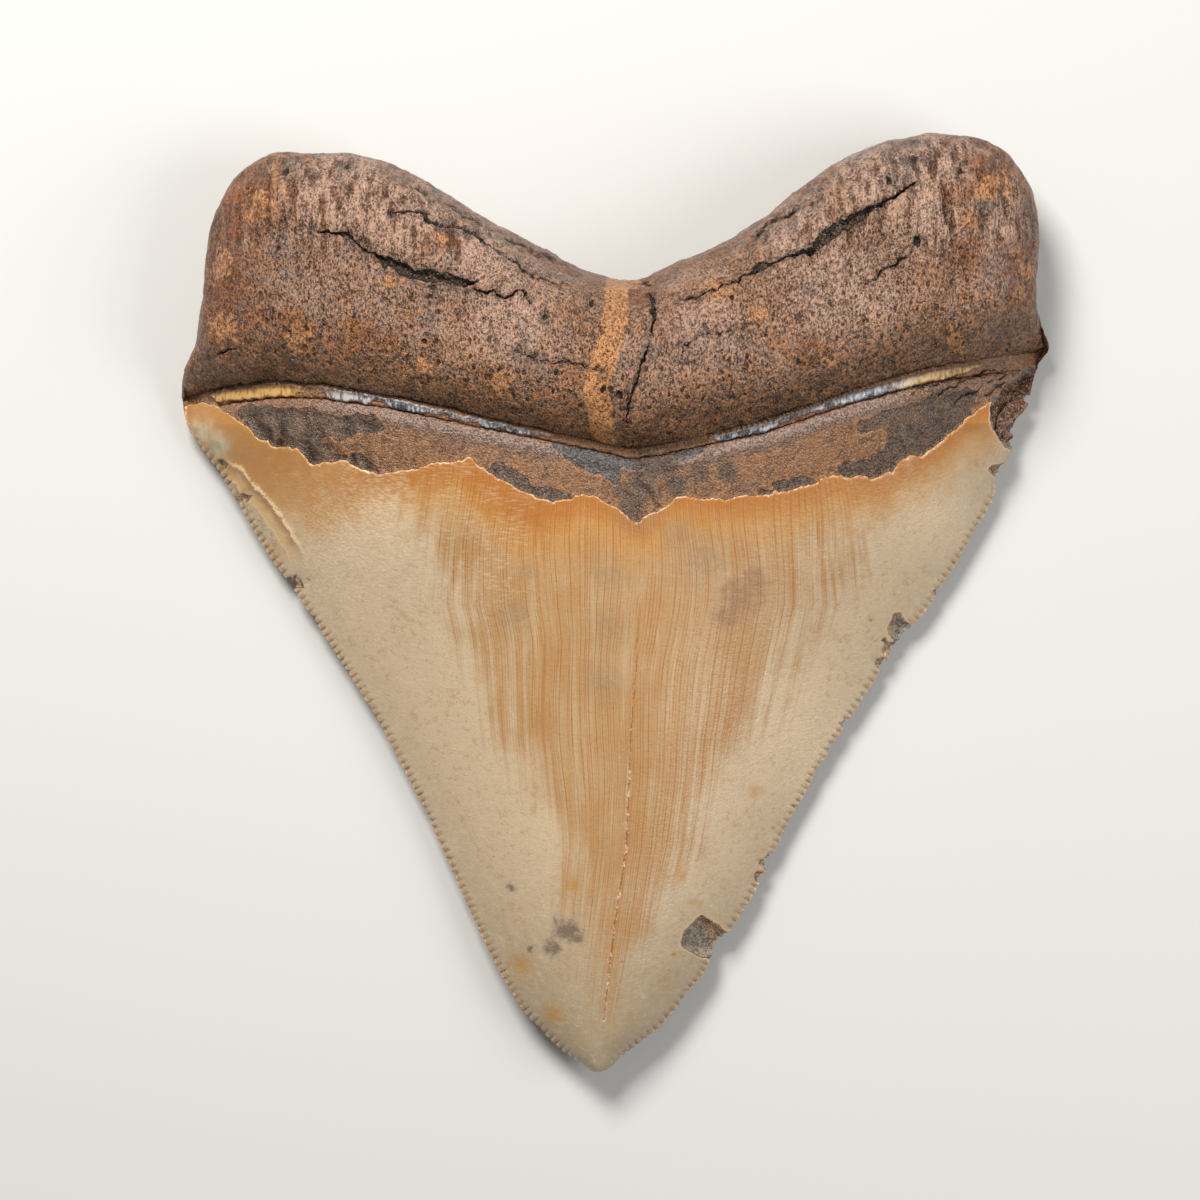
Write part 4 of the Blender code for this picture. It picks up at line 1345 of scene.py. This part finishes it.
def wear_enamel(shades, paint):
    """Coats of stains, of the crumbling border and of the worn edges on the enamel, with painted
    shade in the serrations' notches and painted highlights on their tips.
    """
    reach, rim, notch = shades.layers("enamel", "rim", "notch")
    grain, crumb, patch = shades.grain, shades.crumb, shades.patch
    stain_enamel(shades, paint)
    mark_midline(shades, paint)
    mark_flake(shades, paint)
    grime = rim.step(1.0, 0.2) * shades.sand.step(0.42, 0.54)
    paint.coat(EDGE_GRIME, grime * 0.55)
    # Dirt and painted shade: darker brown in the serrations' notches, near the edge.
    dirt_and_shade = notch.step(0.2, 0.8) * rim.step(1.4, 0.4) * (patch.step(0.35, 0.6) * 0.5 + 0.35)
    paint.coat(NOTCH_DIRT_AND_SHADE, dirt_and_shade)
    # Wear and painted highlight: paler crumbs on the serrations' tips.
    worn = rim.step(0.65, 0.15) * notch.step(0.5, 0.1) * crumb.step(0.36, 0.52)
    paint.coat(shades.blend(WORN_EDGE_AND_HIGHLIGHT, grain.step(0.4, 0.6)), worn * 0.85)
    crumbling = (reach + grain.sway(0.5)).near(0.05, 0.2)
    paint.coat(BORDER_CRUMB, crumbling * crumb.step(0.42, 0.56) * 0.75)


def stain_enamel(shades, paint):
    """Coats of the enamel's soft stains, specks and flecks."""
    grain, crumb = shades.grain, shades.crumb
    grey, smudge, ochre, cream, speck, fleck = shades.layers(
        "grey", "smudge", "ochre", "cream", "speck", "fleck"
    )
    paint.coat(GREY_STAIN, grey * crumb.step(0.2, 0.7) * 0.6)
    paint.coat(BROWN_SMUDGE, (smudge + crumb.sway(0.9)).step(0.1, 1.0) * 0.7)
    paint.coat(OCHRE_STAIN, ochre * 0.85)
    paint.coat(shades.blend(CORNER_CREAM, shades.patch.step(0.4, 0.6)), cream * 0.95)
    speckled = speck * 1.1 + crumb.sway(1.2) + grain.sway(0.8)
    paint.coat(DARK_SPECK, speckled.step(0.4, 1.1) * 0.8)
    paint.coat(RUSTY_FLECK, fleck.step(-0.1, 0.12) * 0.85)


def mark_midline(shades, paint):
    """Coats of the thin crack up the crown's middle, its stain and the crumbs in it."""
    midline, low = shades.layers("midline", "low")
    crumb = shades.crumb
    stain = midline.step(1.1, 0.0) * shades.patch.step(0.35, 0.6)
    paint.coat(MIDLINE_STAIN, stain * (low * 0.4 + 0.2))
    paint.coat(MIDLINE_CRACK, midline.step(0.14, 0.05) * crumb.step(0.56, 0.46) * 0.7)
    crumbs = midline.step(0.28, 0.08) * shades.sand.step(0.52, 0.58) * low
    paint.coat(MIDLINE_CRUMB, crumbs * 0.75)


def mark_flake(shades, paint):
    """Coats of the long flake at the left edge: a crumbling cream crest, a brown valley, a
    thin second crest and a grey facet."""
    crest, flake = shades.layers("crest", "flake")
    facet = shades.blend(FLAKE_FACET, shades.sand.step(0.44, 0.62))
    paint.coat(facet, crest.step(2.0, 2.4) * flake * 0.6)
    valley = shades.blend(FLAKE_VALLEY, (crest + shades.patch.sway(2.4)).step(0.2, 1.8))
    paint.coat(valley, crest.step(0.0, 0.4) * crest.step(2.3, 1.9) * flake * 0.75)
    ragged = crest + shades.grain.sway(0.9)
    cream = ragged.near(0.0, 0.42) * shades.crumb.step(0.34, 0.46) + ragged.near(2.1, 0.18) * 0.5
    paint.coat(FLAKE_CREAM, cream * flake * 0.9)


def band_look(shades):
    """Colour and height of the bare band between the neck and the enamel."""
    grain, crumb, patch = shades.grain, shades.crumb, shades.patch
    split, yellow, fold, walls = shades.layers("split", "yellow", "fold", "walls")
    ground = shades.blend(BAND_BROWN, (grain + crumb.sway(0.6)).step(0.32, 0.7))
    paint = Paint(shades, ground)
    paint.coat(BAND_RUST, patch.step(0.44, 0.62) * 0.6)
    paint.coat(BAND_UMBER, patch.step(0.46, 0.34) * crumb.step(0.4, 0.6) * 0.6)
    # Pink, partly a painted highlight, on the rounded ridge under the split.
    ridge = (split + patch.sway(1.6)).step(-0.1, 0.3) * (split + crumb.sway(1.2)).step(2.9, 1.3)
    pink_and_highlight = shades.blend(RIDGE_PINK_AND_HIGHLIGHT, shades.grit.step(0.32, 0.66))
    paint.coat(pink_and_highlight, ridge * (yellow * -0.55 + 0.8))
    mark_patches(shades, paint, fold)
    paint.coat(SPLIT_RUST, split.near(-0.26, 0.14) * crumb.step(0.4, 0.55) * 0.7)
    # Painted highlight and shade: the band is lighter on the ridges of its folds and darker in
    # their valleys.
    paint.shade(fold * 0.1 + 1.0)
    paint.coat(BAND_CRACK, split.near(0.0, 0.13).over(walls.step(0.06, -0.06)) * 0.9)
    return paint, grain * 0.9 + crumb * 0.6


def mark_patches(shades, paint, fold):
    """Coats of the band's black and slate patches and of its soft dark places, with painted
    highlights along the raised edge round each patch and on the folds' ridges.
    """
    grain, crumb, patch = shades.grain, shades.crumb, shades.patch
    dark, blue, shade = shades.layers("dark", "blue", "shade")
    # The patches are lighter on the ridges of the folds, as painted highlight.
    worn = (grain + crumb.sway(0.4) + fold * 0.12).step(0.3, 0.76)
    black = shades.mix(shades.blend(PATCH_BLACK, worn), PATCH_WEAR, patch.step(0.5, 0.66) * 0.35)
    paint.coat(black, dark.step(-0.03, 0.05))
    slate = shades.blend(PATCH_SLATE, (grain + crumb.sway(0.5)).step(0.3, 0.7))
    paint.coat(slate, blue.step(-0.03, 0.05))
    paint.coat(shades.shade(black, 0.8), (shade + crumb.sway(0.8)).step(0.3, 0.8) * 0.85)
    border = dark.over(blue)
    # Painted highlight: an orange rim along the raised brown edge round each patch.
    paint.coat(PATCH_RIM_HIGHLIGHT, border.near(-0.22, 0.18) * crumb.step(0.44, 0.56) * 0.6)
    paint.coat(PATCH_OUTLINE, border.near(0.0, 0.1) * crumb.step(0.6, 0.5) * 0.85)


def sliver_colour(shades):
    """Colour of the strip of enamel that is left below the neck: bluish white, and yellow
    towards its ends."""
    root, yellow, sliver = shades.layers("root", "yellow", "sliver")
    streaks = shades.streaks(0.4, (1.0, 0.4, 1.0), detail=3.0)
    white = shades.blend(SLIVER_WHITE, (streaks + (shades.patch - NOISE_MIDDLE)).step(0.36, 0.66))
    gold = shades.blend(SLIVER_GOLD, (streaks + shades.patch.sway(0.6)).step(0.3, 0.56))
    paint = Paint(shades, shades.mix(white, gold, yellow))
    paint.coat(SLIVER_SHADE, root.step(-0.8, -0.2) * 0.75)
    paint.coat(SLIVER_RIM, sliver.step(0.12, 0.02) * 0.6)
    return paint.colour


def root_look(shades):
    """Colour and height of the root: finely pitted warm brown, rusty in places, and darker with
    orange crumbs and pores towards the neck. Its colour also holds painted highlights on the tops
    of folds and lumps, and painted shade in the fold valleys."""
    root, relief, fold, lobe = shades.layers("root", "relief", "fold", "lobe")
    grain, crumb, patch = shades.grain, shades.crumb, shades.patch
    fibres = shades.streaks(0.25, (1.0, 0.5, 0.7), roughness=0.7)
    pits = (shades.cells(0.46) + crumb.sway(0.5)).step(0.3, 0.14)
    folds = (shades.streaks(0.8, (1.0, 0.2, 0.35)) - NOISE_MIDDLE) * lobe
    # Lighter on the fibres, and as painted highlight on the tops of folds and lumps.
    light = (fibres + crumb.sway(0.3) + folds * 0.6 + relief * 0.12).step(0.32, 0.66)
    # Fold valleys, which get a darker brown as painted shade.
    valley = (fold + relief * 0.6 + folds * 3.0).step(-0.15, -0.9)
    lower = root + patch.sway(6.0)

    paint = root_ground(shades, light, valley)
    paint.coat(shades.blend(NECK_UMBER, light), lower.step(10.0, 2.0) * 0.85)
    mark_orange(shades, paint, light)
    paint.coat(PIT, pits * 0.6)
    holes = shades.cells(1.4, shades.stretched(shades.place, (1.3, 0.75, 1.0))) + crumb.sway(0.7)
    holed = (lower.step(20.0, 6.0) * 0.85 + 0.15) * patch.step(0.34, 0.5)
    crumbs = (crumb * 0.5 + grain * 0.5).step(0.53, 0.62) * lower.step(11.0, 3.0)
    crumbs = crumbs.over(holes.near(0.32, 0.1) * crumb.step(0.44, 0.54) * holed)
    paint.coat(ORANGE_CRUMB, crumbs * 0.6)
    paint.coat(PORE, holes.step(0.24, 0.14) * holed * 0.95)
    mark_cracks(shades, paint)
    paint.coat(NECK_SHADOW, root.step(0.45, 0.1) * 0.6)

    height = fibres * 1.5 + crumb * 1.0 + folds * 4.0
    return paint, height - pits * 0.9 - holes.step(0.26, 0.12) * root.step(24.0, 8.0)


def root_ground(shades, light, valley):
    """Paint of the root below its orange places, its pores and its cracks."""
    patch, cloud = shades.patch, shades.cloud
    rim, rust_spots, highlight_spots = shades.layers("rim", "rust", "pale")
    paint = Paint(shades, shades.blend(ROOT_GROUND, light))
    paint.coat(shades.blend(ROOT_BROWN, light), (patch + cloud.sway(0.6)).step(0.36, 0.66) * 0.75)
    paint.coat(shades.blend(VALLEY_BROWN_AND_SHADE, light), valley * 0.5)
    rust = rust_spots + patch.sway(1.1) + cloud.sway(0.6)
    # Rust, and painted shade: darker within a few mm of the outline, where the root's sides turn
    # away from the light.
    rust = rust.over(rim.step(3.4, 0.2) * 0.8 + patch.sway(1.2))
    paint.coat(shades.blend(ROOT_RUST_AND_SHADE, light), rust.step(0.0, 0.9) * 0.95)
    # Deeper rust and painted shade at the ends of the lobes.
    ends = (rim + patch.sway(3.0)).step(11.0, 2.0) * rust_spots.step(0.3, 0.7)
    paint.coat(shades.blend(LOBE_RUST_AND_SHADE, light), ends * 0.9)
    # Painted highlight: paler pink on the tops of the root's lobes, kept out of the fold valleys.
    pale = (highlight_spots + patch.sway(0.8)).step(0.15, 0.85) * (1.0 - valley)
    paint.coat(shades.blend(PAINTED_ROOT_HIGHLIGHT, light), pale * 0.75)
    shadow = (cloud + patch.sway(0.9)).step(0.44, 0.26)
    paint.coat(shades.blend(ROOT_SHADOW, light), shadow * 0.45)
    return paint


def mark_orange(shades, paint, light):
    """Coats of the root's orange spots and of the orange strip across its middle."""
    strip, spots_share = shades.layers("strip", "orange")
    orange = shades.blend(ROOT_ORANGE, light)
    bright = spots_share + shades.patch.sway(1.2) + shades.crumb.sway(1.8)
    paint.coat(orange, bright.step(0.4, 0.62) * 0.7)
    paint.coat(orange, (strip + shades.crumb.sway(0.8)).step(-0.2, 0.3) * 0.9)


def mark_cracks(shades, paint):
    """Coats of the root's cracks and of the stained walls beside them."""
    grain, crumb = shades.grain, shades.crumb
    walls = shades.layer("walls")
    paint.coat(CRACK_HALO, walls.step(1.2, 0.1) * crumb.step(0.62, 0.44) * 0.5)
    paint.coat(CRACK_RUST, walls.step(0.4, 0.1) * crumb.step(0.54, 0.62) * 0.6)
    inside = shades.blend(CRACK_INSIDE, grain.step(0.46, 0.66) * walls.step(-0.08, -0.3))
    paint.coat(inside, walls.step(0.05, -0.05))


def break_colour(shades):
    """Colour of the broken places: crumbling brown, and grey inside their rims."""
    grain, crumb = shades.grain, shades.crumb
    broken, tan_walls, shoulder = shades.layers("broken", "tan", "shoulder")
    speckle = grain * 0.5 + crumb * 0.5
    slate = shades.blend(BREAK_SLATE, speckle.step(0.36, 0.64))
    tan = shades.blend(BREAK_TAN, speckle.step(0.4, 0.6))
    paint = Paint(shades, shades.mix(slate, tan, tan_walls.step(-0.1, 0.15) * 0.85))
    brown = shades.blend(BREAK_BROWN, speckle.step(0.42, 0.56))
    brown = shades.mix(brown, BREAK_PINK, grain.step(0.58, 0.66) * 0.7)
    paint.coat(brown, (broken + crumb.sway(0.6)).step(0.8, 1.2) * shoulder)
    return paint.colour


def make_material():
    """The tooth's one material: enamel, bare band, root and broken places."""
    material = bpy.data.materials.new("fossil_tooth")
    material.use_nodes = True
    shades = Shades(material)
    shader = material.node_tree.nodes["Principled BSDF"]
    enamel_reach, root_reach, sliver, broken = shades.layers("enamel", "root", "sliver", "broken")
    on_enamel = enamel_reach.step(-0.04, 0.04)
    on_root = root_reach.step(-0.06, 0.06)
    on_sliver = sliver.step(-0.04, 0.04)
    on_break = broken.step(-0.05, 0.08)

    enamel, enamel_height = enamel_look(shades)
    wear_enamel(shades, enamel)
    paint, band_height = band_look(shades)
    root, root_height = root_look(shades)
    paint.coat(sliver_colour(shades), on_sliver)
    paint.coat(root.colour, on_root)
    paint.coat(enamel.colour, on_enamel)
    paint.coat(BREAK_RIM, broken.near(-0.12, 0.25) * on_enamel * 0.8)
    paint.coat(break_colour(shades), on_break)
    shades.set(shader.inputs["Base Color"], paint.colour)

    smooth = on_enamel.over(on_sliver) * (1.0 - on_break)
    rough_root = shades.crumb.sway(0.3) + ROOT_ROUGHNESS
    roughness = smooth * (ENAMEL_ROUGHNESS - ROOT_ROUGHNESS) + rough_root
    shades.set(shader.inputs["Roughness"], roughness)
    shader.inputs["IOR"].default_value = REFRACTION
    bare = root_height * on_root + band_height * (1.0 - on_root)
    bump = shades.nodes.new("ShaderNodeBump")
    bump.inputs["Strength"].default_value = BUMP_STRENGTH
    bump.inputs["Distance"].default_value = BUMP_HEIGHT * MM
    shades.set(bump.inputs["Height"], enamel_height * smooth + bare * (1.0 - smooth))
    shades.set(shader.inputs["Normal"], bump.outputs["Normal"])
    return material


# --------------------------------------------------------------------------------- scene


def make_floor():
    """A plain pale floor, just below the tooth."""
    half, low = FLOOR_SIZE * MM / 2.0, -FLOOR_GAP * MM
    corners = [(-half, -half, low), (half, -half, low), (half, half, low), (-half, half, low)]
    data = bpy.data.meshes.new("floor")
    data.from_pydata(corners, [], [(0, 1, 2, 3)])
    material = bpy.data.materials.new("pale_floor")
    material.use_nodes = True
    shader = material.node_tree.nodes["Principled BSDF"]
    shader.inputs["Base Color"].default_value = srgb(*FLOOR_GREY)
    shader.inputs["Roughness"].default_value = FLOOR_ROUGHNESS
    data.materials.append(material)
    floor = bpy.data.objects.new("floor", data)
    bpy.context.scene.collection.objects.link(floor)


def soft_box(name, place, size, power, colour):
    """A square area light at a place in mm, aimed at the tooth."""
    data = bpy.data.lights.new(name, "AREA")
    data.size = size * MM
    data.energy = power
    data.color = colour
    light = bpy.data.objects.new(name, data)
    light.location = Vector(place) * MM
    light.rotation_euler = (-light.location).to_track_quat("-Z", "Y").to_euler()
    bpy.context.scene.collection.objects.link(light)


def make_lights():
    for name, light in SOFT_BOXES.items():
        soft_box(name, *light)
    world = bpy.data.worlds.new("studio")
    world.use_nodes = True
    background = world.node_tree.nodes["Background"]
    background.inputs["Color"].default_value = (*COOL_WHITE, 1.0)
    background.inputs["Strength"].default_value = SKY_STRENGTH
    bpy.context.scene.world = world
    bpy.context.scene.view_settings.view_transform = "Standard"


def make_camera():
    """A camera that looks straight down from far enough away to show little perspective."""
    data = bpy.data.cameras.new("camera")
    data.lens = CAMERA_LENS
    data.sensor_width = CAMERA_SENSOR
    camera = bpy.data.objects.new("camera", data)
    camera.location = Vector(CAMERA_PLACE) * MM
    bpy.context.scene.collection.objects.link(camera)
    bpy.context.scene.camera = camera


tooth = make_tooth()
tooth.data.materials.append(make_material())
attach(tooth, "root")
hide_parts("tooth")
make_floor()
make_lights()
make_camera()
